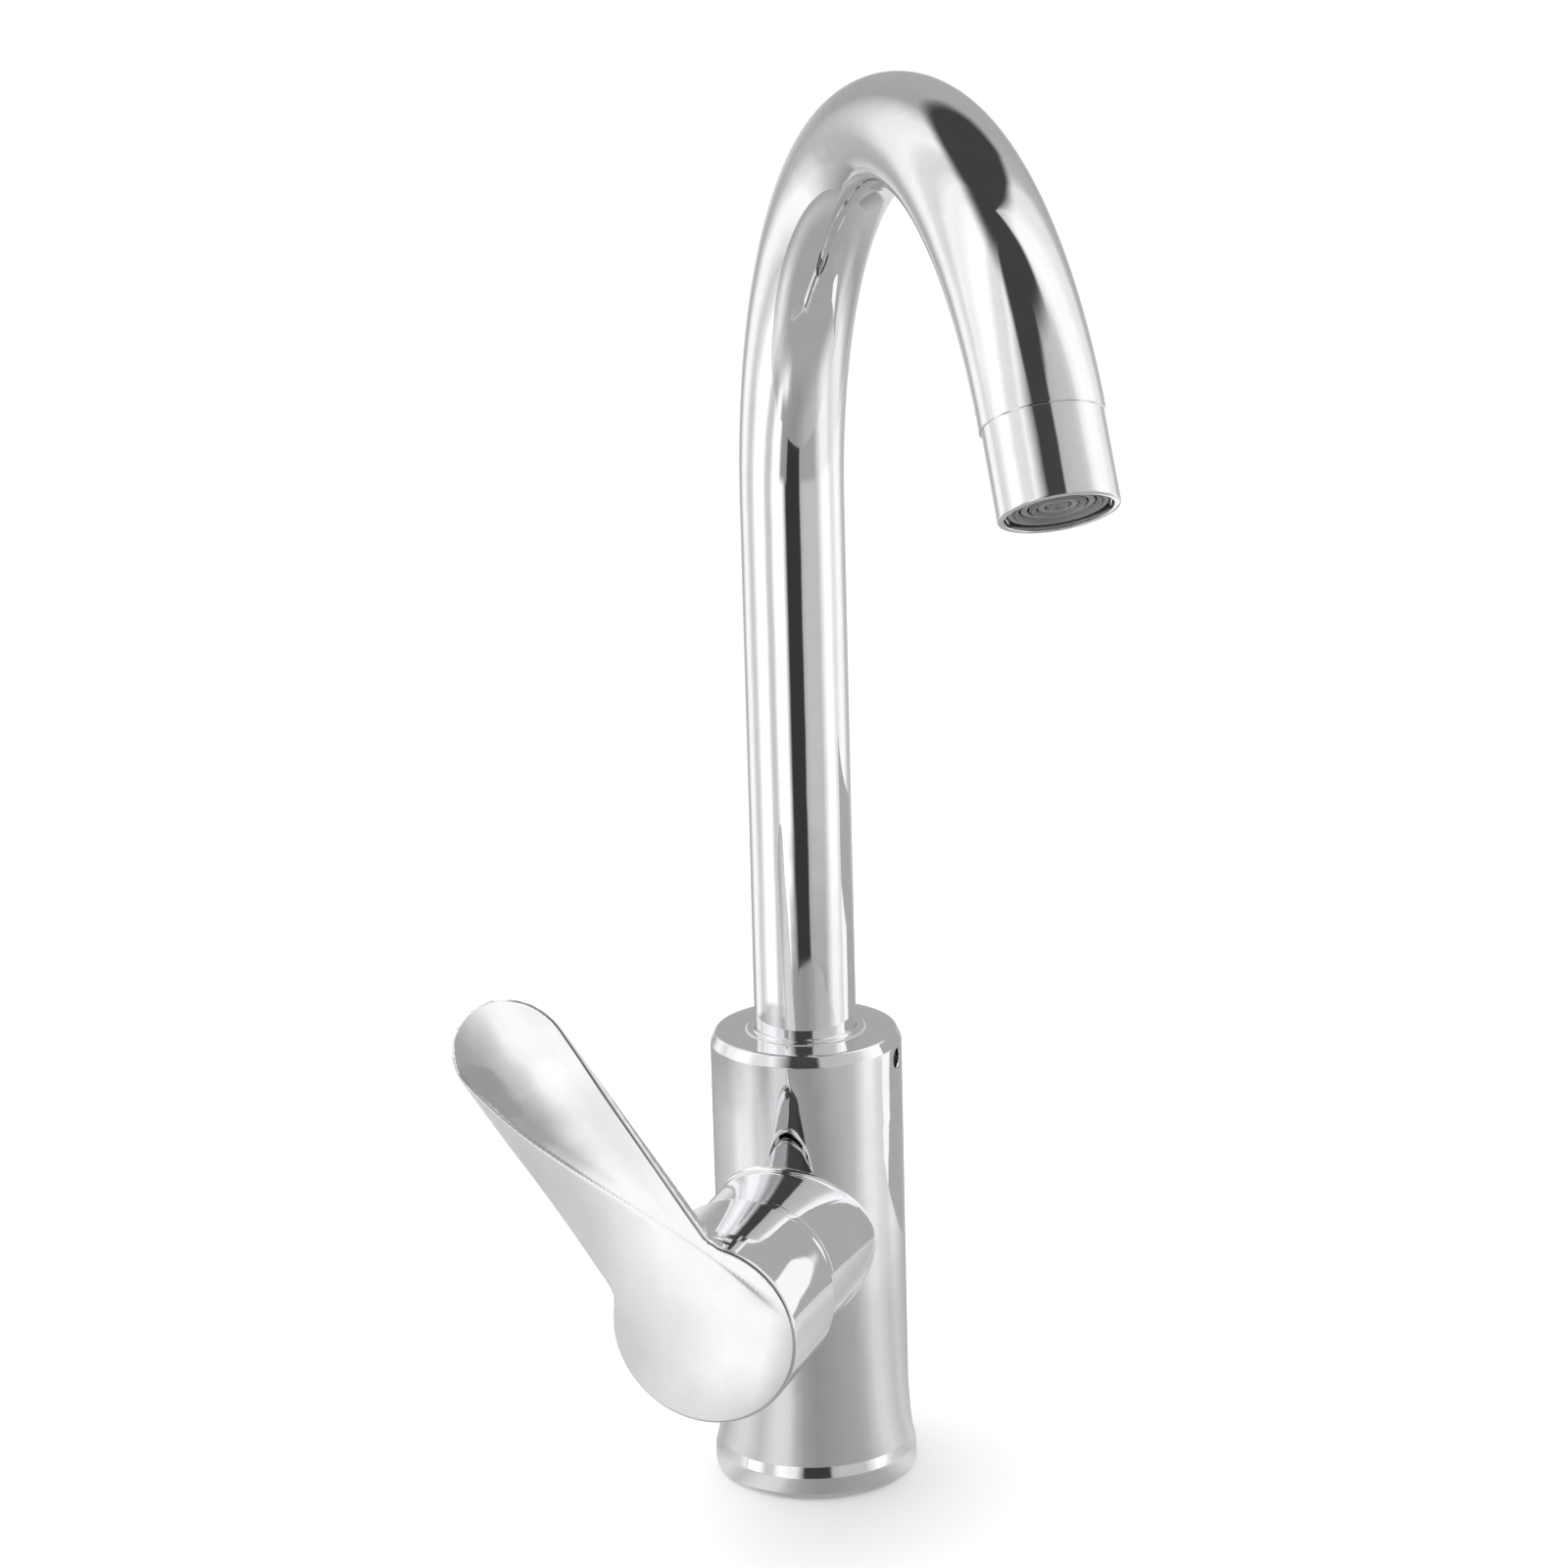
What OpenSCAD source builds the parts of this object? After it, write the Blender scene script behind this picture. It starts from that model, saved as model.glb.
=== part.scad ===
// Tall single-lever mixer tap with a side lever and a swivelling swan-neck spout.
// Millimetres. Z points up from the underside of the base, which stands at z = 0 round the body axis.
// The valve barrel points along -Y, and the screw that holds the spout faces +X.
// Everything is drawn in the closed position, with the lever and the spout turned as photographed.

/* [Body] */
// Outer diameter of the body above its flared base
body_d = 47.2; // [46:0.1:54]
// Height of the body, from the surface it stands on to its flat top
body_h = 115; // [112:1:150]
// How much wider the base is than the body
base_flare = 3.5; // [2:0.1:8]
// Height of the upright band round the base
base_band_h = 5.6; // [3:0.1:9]
// Height of the bevel above that band
base_bevel_h = 2.9; // [1:0.1:5]
// How far the bevel comes in
base_bevel_w = 0.8; // [0.3:0.1:1]
// Height over which the base flares out below the straight body
flare_h = 16.5; // [8:0.5:25]
// Height of the bevel round the top of the body
top_bevel_h = 2.8; // [0.5:0.1:4]
// Width of the bevel round the top of the body
top_bevel_w = 1.3; // [0.5:0.1:3]
// Small bevel under the base
base_edge = 0.6; // [0.2:0.1:1.5]

/* [Water ways] */
// Distance between the two hose inlets
inlet_pitch = 19; // [18:0.5:22]
// Tapping radius of an M10x1 hose inlet
inlet_r = 4.5; // [4:0.1:5]
// Depth of the hose inlet thread
inlet_depth = 14; // [10:1:25]
// Radius of the hot and cold ways in the casting
way_r = 3.4; // [2.5:0.1:3.8]
// Tapping radius of the M8 hole for the fixing stud
stud_r = 3.4; // [2.5:0.1:4]
// Distance from the body axis back to the stud hole
stud_back = 13.5; // [12:0.5:14.5]
// Depth of the stud hole
stud_depth = 16; // [10:1:25]
// Radius of the mixed-water way up to the spout
mixed_r = 5.5; // [4.5:0.5:6.5]

/* [Base seal] */
// Distance from the base's edge in to the seal groove
seal_margin = 2.9; // [1.5:0.1:3.2]
// Width of the seal groove
seal_w = 2.6; // [1.5:0.1:3]
// Depth of the seal groove
seal_h = 2.4; // [1:0.1:4]

/* [Valve barrel] */
// Distance from the body axis to the seat of the cartridge
seat = 12; // [10.5:0.5:16]
// Wall of the barrel round the nut's thread
barrel_wall = 1.9; // [1.2:0.1:2.5]
// Step from the cartridge's bore out to the nut's thread
thread_step = 1.1; // [0.8:0.1:1.5]
// Wall between the cartridge's bore and the spout's socket
floor_wall = 2.2; // [1.5:0.1:10]
// Wall of the domed cover
dome_wall = 1.4; // [1:0.1:1.8]
// Radius of the hole in the domed cover
dome_hole_r = 12.8; // [11.5:0.1:14]
// Length of the cover's straight part, up to the point that the lever rocks round
dome_skirt = 1; // [0.5:0.1:2]

/* [Cartridge] */
// Outer diameter of the cartridge
cartridge_d = 34.8; // [34:0.1:36]
// Thickness of the cartridge base
cartridge_base_h = 5; // [4.5:0.5:7]
// Wall of the cartridge housing
housing_wall = 2.2; // [1.8:0.1:2.4]
// Thickness of each ceramic disc
disc_h = 3.5; // [3:0.1:4.5]
// Room round the moving disc at the end of its travel
disc_play = 0.5; // [0.3:0.1:1]
// Thickness of the slider's flat part
slider_h = 3; // [2.5:0.1:4]
// Height of the slider's guide block
guide_h = 3; // [2.5:0.1:3.5]
// Width of the slider's guide block
guide_w = 12; // [10:0.5:13]
// Outer radius of the turning collar
collar_r = 11.4; // [11:0.1:11.8]
// Radius of the pin that the stem rocks on
pin_r = 2; // [1.5:0.1:2.3]
// Radius of the ball at the inner end of the stem
ball_r = 2.6; // [2.2:0.1:2.9]
// Distance from the pin to the centre of that ball
ball_arm = 16.9; // [15:0.1:19]
// Width of the stem's square
stem_w = 8.8; // [7:0.1:9.6]
// Full travel of the stem, which leans half of it either way
lift_deg = 25; // [20:1:28]

/* [Lever] */
// Turn of the lever from upright, as photographed
lever_turn = 31; // [-50:1:50]
// Gap between the hub and the dome that it swings round
swing_gap = 0.6; // [0.4:0.1:1.5]
// Wall of the hub round the dome
hub_wall = 1.3; // [1:0.1:3]
// Distance from the pin to the rear edge of the hub
hub_start = 4.5; // [4:0.1:6]
// Length of the hub along the barrel
hub_len = 29; // [27:0.5:36]
// How far the hub's face is crowned
hub_crown = 1; // [0.3:0.1:2]
// Length of the blade from the hub axis to its tip
blade_len = 93; // [60:1:120]
// Width of the blade
blade_w = 28.6; // [20:0.1:34]
// Thickness of the blade
blade_t = 3.6; // [2.6:0.1:6]
// Outward lean of the blade
blade_lean = 10; // [4:1:16]
// Depth of the thumb scoop near the blade's tip
scoop_depth = 1.6; // [0.3:0.1:1.8]
// Radius of the thumb scoop across the blade
scoop_r = 48; // [30:1:90]

/* [Spout] */
// Direction of the spout from +X
spout_azimuth = -55; // [-180:1:180]
// Outer diameter of the spout tube
tube_d = 25; // [22:0.1:27]
// Wall of the spout tube
tube_wall = 1.1; // [0.8:0.1:1.5]
// Height of the straight riser above the top of the body
riser_h = 131.5; // [60:0.5:250]
// Bend radius of the tube's centre line
bend_r = 94.8; // [60:0.1:140]
// Angle of the bend
bend_deg = 151; // [120:1:175]
// Step from the tube out to the foot that turns in the body
foot_step = 1.45; // [1.2:0.05:2]
// Length of the foot inside the body
foot_len = 29.4; // [28:0.1:40]
// Wall between the tube's inside and the water way of the foot
foot_wall = 2.9; // [2:0.1:4]
// Step from the foot out to its flange
flange_step = 0.55; // [0.3:0.05:0.9]
// Thickness of the flange
flange_h = 1; // [0.6:0.1:2]
// Height of the sloping collar over the flange
foot_slope_h = 1.8; // [0.8:0.1:3]
// Width of that slope
foot_slope_w = 0.8; // [0.3:0.1:1.2]
// Depth of the locking screw below the body's top
lock_below = 6; // [5.4:0.1:8]
// Radius of the locking screw's thread
lock_r = 2.5; // [2.1:0.1:3]
// Section radius of the spout's sealing rings
ring_r = 1.1; // [0.8:0.05:1.3]

/* [Outlet] */
// Step from the tube in to the outlet sleeve
sleeve_step = 0.4; // [0:0.1:0.8]
// Length of the outlet sleeve
sleeve_len = 18.6; // [17:0.1:30]
// Wall of the sleeve round the thread that holds it
sleeve_wall = 1.2; // [1:0.1:1.5]
// Length of that thread
nose_len = 7; // [5:0.1:7.6]
// Step from that thread in to the aerator
insert_step = 0.2; // [0.1:0.05:0.4]
// How far the aerator lies back from the sleeve's rim
insert_back = 1; // [0.3:0.1:2]

/* [Fits] */
// Radial clearance of the parts that turn or slide
running = 0.05; // [0.02:0.01:0.1]
// Clearance between parts that are fixed together
seated = 0.03; // [0.01:0.01:0.06]
// Clearance between the ball and its pocket
ball_gap = 0.12; // [0.1:0.01:0.3]
// Free space round parts that move past each other
free = 0.3; // [0.25:0.05:0.35]

/* [Hidden] */
$fn = 96;
// How far a cut runs past the face that it opens, and how deep two joined shapes overlap
over = 1;
tiny = 0.01;

// Radii of the body and its base
body_r = body_d / 2;
base_r = body_r + base_flare / 2;
bevel_top = base_band_h + base_bevel_h;
bevel_r = base_r - base_bevel_w;
flare_w = bevel_r - body_r;
flare_steps = 12;
seal_out_r = base_r - seal_margin;
seal_in_r = seal_out_r - seal_w;

// Radii of the spout tube, its foot and the socket that the foot turns in
tube_r = tube_d / 2;
tube_in_r = tube_r - tube_wall;
foot_r = tube_r + foot_step;
foot_bore_r = tube_in_r - foot_wall;
flange_r = foot_r + flange_step;
socket_r = foot_r + running;
glide_w = 0.9;
glide_h = 1.5;
glide_r = socket_r + glide_w;

// Levels of the spout's foot, from the top of the body down
foot_clear = 0.6;
foot_low = body_h - foot_len;
socket_floor = foot_low - foot_clear;
lock_z = body_h - lock_below;
lock_len = 5;
dog_r = 0.68 * lock_r;
hex_socket_r = 0.58 * lock_r;
hex_socket_depth = lock_len / 2;
groove_h = 4;
groove_depth = 1.9;
groove_r = foot_r - groove_depth;
ring_seat_r = foot_r - 2 * ring_r;
ring_below_lock = 7;
ring_pitch = 5;
ring_1_z = lock_z - ring_below_lock;
ring_2_z = ring_1_z - ring_pitch;
bush_up = 1.5;
bush_h = 4.5;
bush_wall = 1.4;
bush_r = foot_r - bush_wall;
bush_z = foot_low + bush_up;

// Levels of the spout above the body
flange_gap = 0.1;
flange_z = body_h + flange_gap;
slope_low = flange_z + flange_h;
tube_low = slope_low + foot_slope_h;
spigot_len = 12;
bend_z = body_h + riser_h;

// Radii of the cartridge, its nut, the barrel and the dome
cartridge_r = cartridge_d / 2;
bore_gap = 0.2;
bore_r = cartridge_r + bore_gap;
nut_r = bore_r + thread_step;
thread_r = nut_r + seated;
barrel_r = nut_r + barrel_wall;
nut_hex_step = 1.5;
nut_hex_r = nut_r - nut_hex_step;
room_r = cartridge_r - housing_wall;
neck_wall = 1.55;
neck_r = collar_r + running + neck_wall;
barrel_z = socket_floor - floor_wall - bore_r;

// Distances along the barrel, from the body axis outwards
pocket_wall = 0.4;
pocket_clear = 0.1;
collar_flange_up = 3.6;
collar_flange_cut = 0.6;
collar_play = 0.4;
collar_rise = 3;
shoulder_h = 3;
nut_h = 5;
thread_run = 0.5;
base_top = seat + cartridge_base_h;
fixed_top = base_top + disc_h;
moving_low = fixed_top + seated;
moving_top = moving_low + disc_h;
slider_top = moving_top + slider_h;
guide_top = slider_top + guide_h;
pocket_floor = moving_top + pocket_wall;
pivot = pocket_floor + pocket_clear + ball_r + ball_arm;
flange_low = slider_top + free;
flange_top = guide_top + collar_flange_up;
shoulder_low = flange_top + collar_play;
shoulder_top = shoulder_low + shoulder_h;
collar_top = pivot + collar_rise;
neck_top = collar_top - over;
nut_top = shoulder_top + nut_h;
nut_hex_top = nut_top + nut_h;
barrel_reach = pivot - dome_skirt;
dome_lip = 0.8;

// Travel of the moving disc and its slider
lean = lift_deg / 2;
slide_mm = 2 * ball_arm * sin(lean);
disc_r = room_r - slide_mm / 2 - disc_play;
recess_wall = 3.6;
slider_seal_in = 2.6;
slider_seal_out = 1.2;
slider_seal_h = 1.2;

// Ports in the cartridge's own plane, hot and cold below, mixed above
port_x = 7.2;
port_y = -3;
port_r = 3.2;
mixed_port_y = 8;
mixed_port_r = 3.8;
peg_x = 13.2;
peg_y = 2.6;
peg_r = 1.4;
peg_len = 3;
peg_room = 0.5;
port_seal_w = 1.5;
port_seal_h = 1.7;
port_seal_gap = 0.1;

// Stem, its window in the collar and the seal round the collar
arm_neck = 0.8;
stem_root = 5;
window_play = 2.6;
pin_short = 0.6;
collar_seal_up = 3;
collar_seal_h = 1.8;
collar_seal_w = 1.5;

// Lever
cavity_r = barrel_r + swing_gap;
hub_r = cavity_r + hub_wall;
hub_rear = pivot + hub_start;
hub_front = hub_rear + hub_len;
dome_headroom = 1.4;
cavity_top = pivot + barrel_r + dome_headroom;
crown_r = (hub_r * hub_r + hub_crown * hub_crown) / (2 * hub_crown);
blade_r = blade_w / 2;
blade_root = 8;
scoop_pitch = 88;
scoop_slant = 10;
face_wall = 2.6;
stem_short = 0.8;
socket_end = hub_front - face_wall;
stem_end = socket_end - stem_short;
screw_at = (cavity_top + socket_end) / 2;
screw_r = 2.5;
screw_len = 9;
screw_cone = 1.5;
screw_tip_r = 1;
plug_r = 3.2;
plug_depth = 4;
plug_short = 0.5;

// Outlet, from the end of the tube outwards
sleeve_r = tube_r - sleeve_step;
sleeve_edge = 0.4;
nose_r = sleeve_r - sleeve_wall;
nose_wall = 2;
nose_root = 3;
braze_gap = 0.15;
insert_r = nose_r - insert_step;
seat_gap = 0.3;
seat_ring = nose_len + seat_gap;
washer_h = 1.8;
insert_low = seat_ring + washer_h;
insert_top = sleeve_len - insert_back;
lip_low = 5;
lip_high = 3;
lip_w = 0.6;
cup_wall = 1;
screen_r = insert_r - cup_wall - seated;
jet_h = 1.6;
jet_r = 0.5;
jet_in = 2.2;
screen_up = 2;
screen_h = 0.4;
screen_pitch = 1;
cup_step_up = 4;
cup_step_h = 0.6;
cup_step_w = 0.8;
grille_h = 1.6;
grille_rib = 0.6;
grille_pitch = 2;
grille_first = 1.4;
grille_rings = 4;

// Places a part in the barrel's frame: z outwards along the barrel, y up, x to the right
module on_barrel() {
    translate([0, 0, barrel_z])
        rotate([90, 0, 0])
            children();
}

// Places a part in the lever's frame: y along the blade, turned as photographed
module on_lever() {
    on_barrel()
        rotate([0, 0, lever_turn])
            children();
}

// Places a part in the stem's frame: origin at the pin, z along the leaning stem
module on_stem() {
    on_lever()
        translate([0, 0, pivot])
            rotate([-lean, 0, 0])
                children();
}

// Places a part in the blade's frame: its front face at z = 0, y along the leaning blade
module on_blade() {
    on_lever()
        translate([0, blade_root, hub_front])
            rotate([blade_lean, 0, 0])
                children();
}

// Places a part in the spout's plane: x along the spout
module on_spout() {
    rotate([0, 0, spout_azimuth])
        children();
}

// Places a part at the end of the tube: z along the flow, leaving the tube
module at_outlet() {
    on_spout()
        translate([bend_r * (1 - cos(bend_deg)), 0, bend_z + bend_r * sin(bend_deg)])
            rotate([0, bend_deg, 0])
                children();
}

// A plain turned ring
module ring(r_in, r_out, z0, z1) {
    translate([0, 0, z0])
        difference() {
            cylinder(r = r_out, h = z1 - z0);
            translate([0, 0, -over])
                cylinder(r = r_in, h = z1 - z0 + 2 * over);
        }
}

// A round-section sealing ring
module o_ring(middle_r, section_r, z) {
    translate([0, 0, z])
        rotate_extrude()
            translate([middle_r, 0])
                circle(r = section_r, $fn = 32);
}

// Radius of the flare, t going from 0 at the bevel to 1 at the straight body
function flare(t) = body_r + flare_w * (1 - t) * (1 - t);

// Outside of the body: base band, bevel, flare, straight wall and top bevel
module body_shape() {
    rotate_extrude()
        polygon(concat(
            [[0, 0], [base_r - base_edge, 0], [base_r, base_edge], [base_r, base_band_h]],
            [for (i = [0:flare_steps])
                [flare(i / flare_steps), bevel_top + flare_h * i / flare_steps]],
            [[body_r, body_h - top_bevel_h], [body_r - top_bevel_w, body_h], [0, body_h]]
        ));
}

// The hot and cold ports and the mixed port, as they lie in the cartridge's plane
module at_ports() {
    for (side = [-1, 1])
        translate([side * port_x, port_y, 0])
            children(0);
    translate([0, mixed_port_y, 0])
        children(1);
}

// The cast body with its barrel, water ways, inlets and spout socket
module tap_body() {
    color("silver")
    difference() {
        union() {
            body_shape();
            on_barrel()
                cylinder(r = barrel_r, h = barrel_reach);
        }
        // Bore and thread for the cartridge, peg holes and ports
        on_barrel() {
            translate([0, 0, seat])
                cylinder(r = bore_r, h = barrel_reach);
            translate([0, 0, shoulder_top - thread_run])
                cylinder(r = thread_r, h = barrel_reach);
            for (side = [-1, 1])
                translate([side * peg_x, peg_y, seat - peg_len - peg_room])
                    cylinder(r = peg_r + seated, h = peg_len + over);
            at_ports() {
                cylinder(r = port_r, h = seat + over);
                cylinder(r = mixed_port_r, h = seat + over);
            }
        }
        // Hot and cold ways up from the hose inlets
        for (side = [-1, 1])
            translate([side * inlet_pitch / 2, 0, 0]) {
                translate([0, 0, -over])
                    cylinder(r = inlet_r, h = inlet_depth + over);
                cylinder(r = way_r, h = barrel_z + port_y);
            }
        // Stud hole
        translate([0, stud_back, -over])
            cylinder(r = stud_r, h = stud_depth + over);
        // Mixed water up to the spout socket
        translate([0, 0, barrel_z + mixed_port_y])
            cylinder(r = mixed_r, h = socket_floor - barrel_z - mixed_port_y + over);
        translate([0, 0, socket_floor])
            cylinder(r = socket_r, h = body_h);
        translate([0, 0, body_h - glide_h])
            cylinder(r = glide_r + seated, h = glide_h + over);
        // Threaded hole for the locking screw
        translate([0, 0, lock_z])
            rotate([0, 90, 0])
                cylinder(r = lock_r + seated, h = body_r + over);
        // Groove for the base seal
        ring(seal_in_r, seal_out_r, -over, seal_h);
    }
}

// Rubber ring under the base
module base_seal() {
    color("dimgray")
        ring(seal_in_r + seated, seal_out_r - seated, 0, seal_h - seated);
}

// Socket-headed screw that keeps the spout in, its dog point in the foot's groove
module spout_lock_screw() {
    color("slategray")
    translate([0, 0, lock_z])
        rotate([0, 90, 0])
            difference() {
                union() {
                    translate([0, 0, groove_r + free])
                        cylinder(r = dog_r, h = lock_len);
                    translate([0, 0, socket_r + free])
                        cylinder(r = lock_r, h = lock_len);
                }
                translate([0, 0, socket_r + free + lock_len - hex_socket_depth])
                    cylinder(r = hex_socket_r, h = lock_len, $fn = 6);
            }
}

// Plastic ring on which the spout's flange turns
module spout_glide_ring() {
    color("whitesmoke")
        ring(socket_r + running, glide_r, body_h - glide_h, body_h);
}

// Base plate of the cartridge with its three ports and two pegs
module cartridge_base() {
    color("ivory")
    on_barrel()
        difference() {
            union() {
                translate([0, 0, seat])
                    cylinder(r = cartridge_r, h = cartridge_base_h);
                for (side = [-1, 1])
                    translate([side * peg_x, peg_y, seat - peg_len])
                        cylinder(r = peg_r, h = peg_len + over);
            }
            translate([0, 0, seat - over])
                at_ports() {
                    cylinder(r = port_r, h = cartridge_base_h + 2 * over);
                    cylinder(r = mixed_port_r, h = cartridge_base_h + 2 * over);
                }
            // Counterbores for the seals on both faces
            for (z = [seat - over, base_top - port_seal_h])
                translate([0, 0, z])
                    at_ports() {
                        cylinder(r = port_r + port_seal_w, h = port_seal_h + over);
                        cylinder(r = mixed_port_r + port_seal_w, h = port_seal_h + over);
                    }
        }
}

// A set of three rubber rings round the ports
module port_rings(z0) {
    z1 = z0 + port_seal_h - seated;
    on_barrel()
        at_ports() {
            ring(port_r + port_seal_gap, port_r + port_seal_w - seated, z0, z1);
            ring(mixed_port_r + port_seal_gap, mixed_port_r + port_seal_w - seated, z0, z1);
        }
}

// Seals between the cartridge and the casting
module port_seals() {
    color("black")
        port_rings(seat);
}

// Seals between the cartridge base and the fixed disc
module disc_seals() {
    color("black")
        port_rings(base_top - port_seal_h + seated);
}

// Fixed ceramic disc
module fixed_disc() {
    color("white")
    on_barrel()
        translate([0, 0, base_top])
            difference() {
                cylinder(r = room_r - seated, h = disc_h);
                translate([0, 0, -over])
                    at_ports() {
                        cylinder(r = port_r, h = disc_h + 2 * over);
                        cylinder(r = mixed_port_r, h = disc_h + 2 * over);
                    }
            }
}

// Moving ceramic disc, drawn where the closed lever holds it
module moving_disc() {
    color("gainsboro")
    on_lever()
        translate([0, -slide_mm / 2, moving_low])
            difference() {
                cylinder(r = disc_r, h = disc_h);
                translate([0, 0, -over])
                    cylinder(r = disc_r - recess_wall, h = disc_h / 2 + over);
            }
}

// Plastic slider that the stem's ball drives
module disc_slider() {
    color("ivory")
    on_lever()
        translate([0, -slide_mm / 2, 0])
            difference() {
                union() {
                    translate([0, 0, moving_top])
                        cylinder(r = disc_r, h = slider_h);
                    translate([-guide_w / 2, -guide_w / 2, moving_top])
                        cube([guide_w, guide_w, slider_h + guide_h]);
                }
                translate([0, 0, pocket_floor])
                    cylinder(r = ball_r + ball_gap, h = guide_top);
                ring(disc_r - slider_seal_in, disc_r - slider_seal_out,
                    moving_top - over, moving_top + slider_seal_h);
            }
}

// Rubber ring between the slider and the moving disc
module slider_seal() {
    color("black")
    on_lever()
        translate([0, -slide_mm / 2, moving_top])
            ring(disc_r - slider_seal_in + seated, disc_r - slider_seal_out - seated,
                0, slider_seal_h - seated);
}

// Cartridge housing: drum, shoulder and neck
module cartridge_housing() {
    color("ivory")
    on_barrel()
        rotate_extrude()
            polygon([
                [room_r, base_top], [cartridge_r, base_top],
                [cartridge_r, shoulder_top], [neck_r, shoulder_top],
                [neck_r, neck_top], [collar_r + running, neck_top],
                [collar_r + running, shoulder_low], [room_r, shoulder_low]
            ]);
}

// Brass nut that holds the cartridge down
module cartridge_nut() {
    color("goldenrod")
    on_barrel()
        difference() {
            union() {
                translate([0, 0, shoulder_top])
                    cylinder(r = nut_r, h = nut_h);
                translate([0, 0, nut_top - tiny])
                    cylinder(r = nut_hex_r, h = nut_h + tiny, $fn = 6);
            }
            cylinder(r = neck_r + bore_gap, h = nut_hex_top + over);
        }
}

// Domed cover over the nut, round the point where the lever rocks
module dome_cover() {
    color("silver")
    on_barrel()
        difference() {
            union() {
                intersection() {
                    translate([0, 0, pivot])
                        sphere(r = barrel_r);
                    translate([0, 0, pivot])
                        cylinder(r = barrel_r + over, h = barrel_r);
                }
                translate([0, 0, barrel_reach])
                    cylinder(r = barrel_r, h = dome_skirt);
                translate([0, 0, barrel_reach - dome_lip])
                    cylinder(r = nut_r, h = dome_skirt);
            }
            intersection() {
                translate([0, 0, pivot])
                    sphere(r = barrel_r - dome_wall);
                translate([0, 0, pivot])
                    cylinder(r = barrel_r + over, h = barrel_r);
            }
            translate([0, 0, barrel_reach - dome_lip - over])
                cylinder(r = nut_hex_r + free, h = dome_skirt + dome_lip + over + tiny);
            cylinder(r = dome_hole_r, h = pivot + barrel_r + over);
        }
}

// Collar that turns with the lever and carries the pin
module turning_collar() {
    color("whitesmoke")
    on_lever()
        difference() {
            union() {
                translate([0, 0, flange_low])
                    cylinder(r = room_r - collar_flange_cut, h = flange_top - flange_low);
                translate([0, 0, flange_top - tiny])
                    cylinder(r = collar_r, h = collar_top - flange_top + tiny);
            }
            // Channel that guides the slider
            translate([-guide_w / 2 - running, -cartridge_r, flange_low - over])
                cube([guide_w + 2 * running, cartridge_d, guide_top + free - flange_low + over]);
            // Window in which the stem rocks
            translate([-stem_w / 2 - free, -stem_w / 2 - window_play, guide_top])
                cube([stem_w + 2 * free, stem_w + 2 * window_play, collar_top]);
            // Bore for the pin
            translate([0, 0, pivot])
                rotate([0, 90, 0])
                    cylinder(r = pin_r + seated, h = 4 * collar_r, center = true);
            // Groove for its seal
            ring(collar_r - collar_seal_w, collar_r + over,
                flange_top + collar_seal_up, flange_top + collar_seal_up + collar_seal_h);
        }
}

// Sealing ring round the turning collar
module collar_seal() {
    color("black")
    on_lever()
        ring(collar_r - collar_seal_w + seated, collar_r,
            flange_top + collar_seal_up + seated,
            flange_top + collar_seal_up + collar_seal_h - seated);
}

// Steel pin on which the stem rocks
module stem_pin() {
    color("gray")
    on_lever()
        translate([0, 0, pivot])
            rotate([0, 90, 0])
                cylinder(r = pin_r, h = 2 * (collar_r - pin_short), center = true);
}

// Stem: ball, arm, eye and square, leaning in the closed position
module cartridge_stem() {
    color("darkgoldenrod")
    on_stem()
        difference() {
            union() {
                translate([0, 0, -ball_arm])
                    sphere(r = ball_r, $fn = 48);
                translate([0, 0, -ball_arm + ball_r / 2])
                    cylinder(r = ball_r - arm_neck, h = ball_arm - ball_r / 2 - stem_root / 2);
                translate([-stem_w / 2, -stem_w / 2, -stem_root])
                    cube([stem_w, stem_w, (stem_end - pivot) * cos(lean) + stem_root]);
            }
            rotate([0, 90, 0])
                cylinder(r = pin_r + running, h = 2 * stem_w, center = true);
        }
}

// Outline of the blade, seen square to the hub's face
module blade_outline() {
    translate([-blade_r, 0])
        square([blade_w, blade_len - blade_r]);
    translate([0, blade_len - blade_r])
        circle(r = blade_r);
}

// Lever casting: cup-shaped hub, crowned face and leaning blade with its thumb scoop
module lever_handle() {
    color("silver")
    difference() {
        union() {
            on_lever()
                intersection() {
                    translate([0, 0, hub_rear])
                        cylinder(r = hub_r, h = hub_len + hub_crown);
                    translate([0, 0, hub_front + hub_crown - crown_r])
                        sphere(r = crown_r, $fn = 360);
                }
            intersection() {
                on_lever()
                    translate([0, 0, hub_rear])
                        linear_extrude(height = 2 * blade_len)
                            blade_outline();
                on_blade()
                    translate([-blade_w, 0, -blade_t])
                        cube([2 * blade_w, 2 * blade_len, blade_t]);
            }
        }
        // Thumb scoop, slanting down from the tip towards the right of the hub
        on_blade()
            translate([0, blade_len - blade_r, scoop_r - scoop_depth])
                rotate([scoop_pitch, 0, scoop_slant])
                    cylinder(r = scoop_r, h = 3 * blade_len, center = true, $fn = 180);
        on_lever() {
            // Room for the dome
            translate([0, 0, hub_rear - over])
                cylinder(r = cavity_r, h = cavity_top - hub_rear + over);
            // Screw hole and plug seat
            translate([0, 0, screw_at])
                rotate([90, 0, 0]) {
                    translate([0, 0, -screw_cone])
                        cylinder(r = screw_r + seated, h = 2 * hub_r);
                    translate([0, 0, hub_r - plug_depth])
                        cylinder(r = plug_r + seated, h = 2 * hub_r);
                }
        }
        // Socket for the stem's square
        on_stem()
            translate([-stem_w / 2 - seated, -stem_w / 2 - seated, 0])
                cube([stem_w + 2 * seated, stem_w + 2 * seated, (socket_end - pivot) * cos(lean)]);
    }
}

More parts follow.
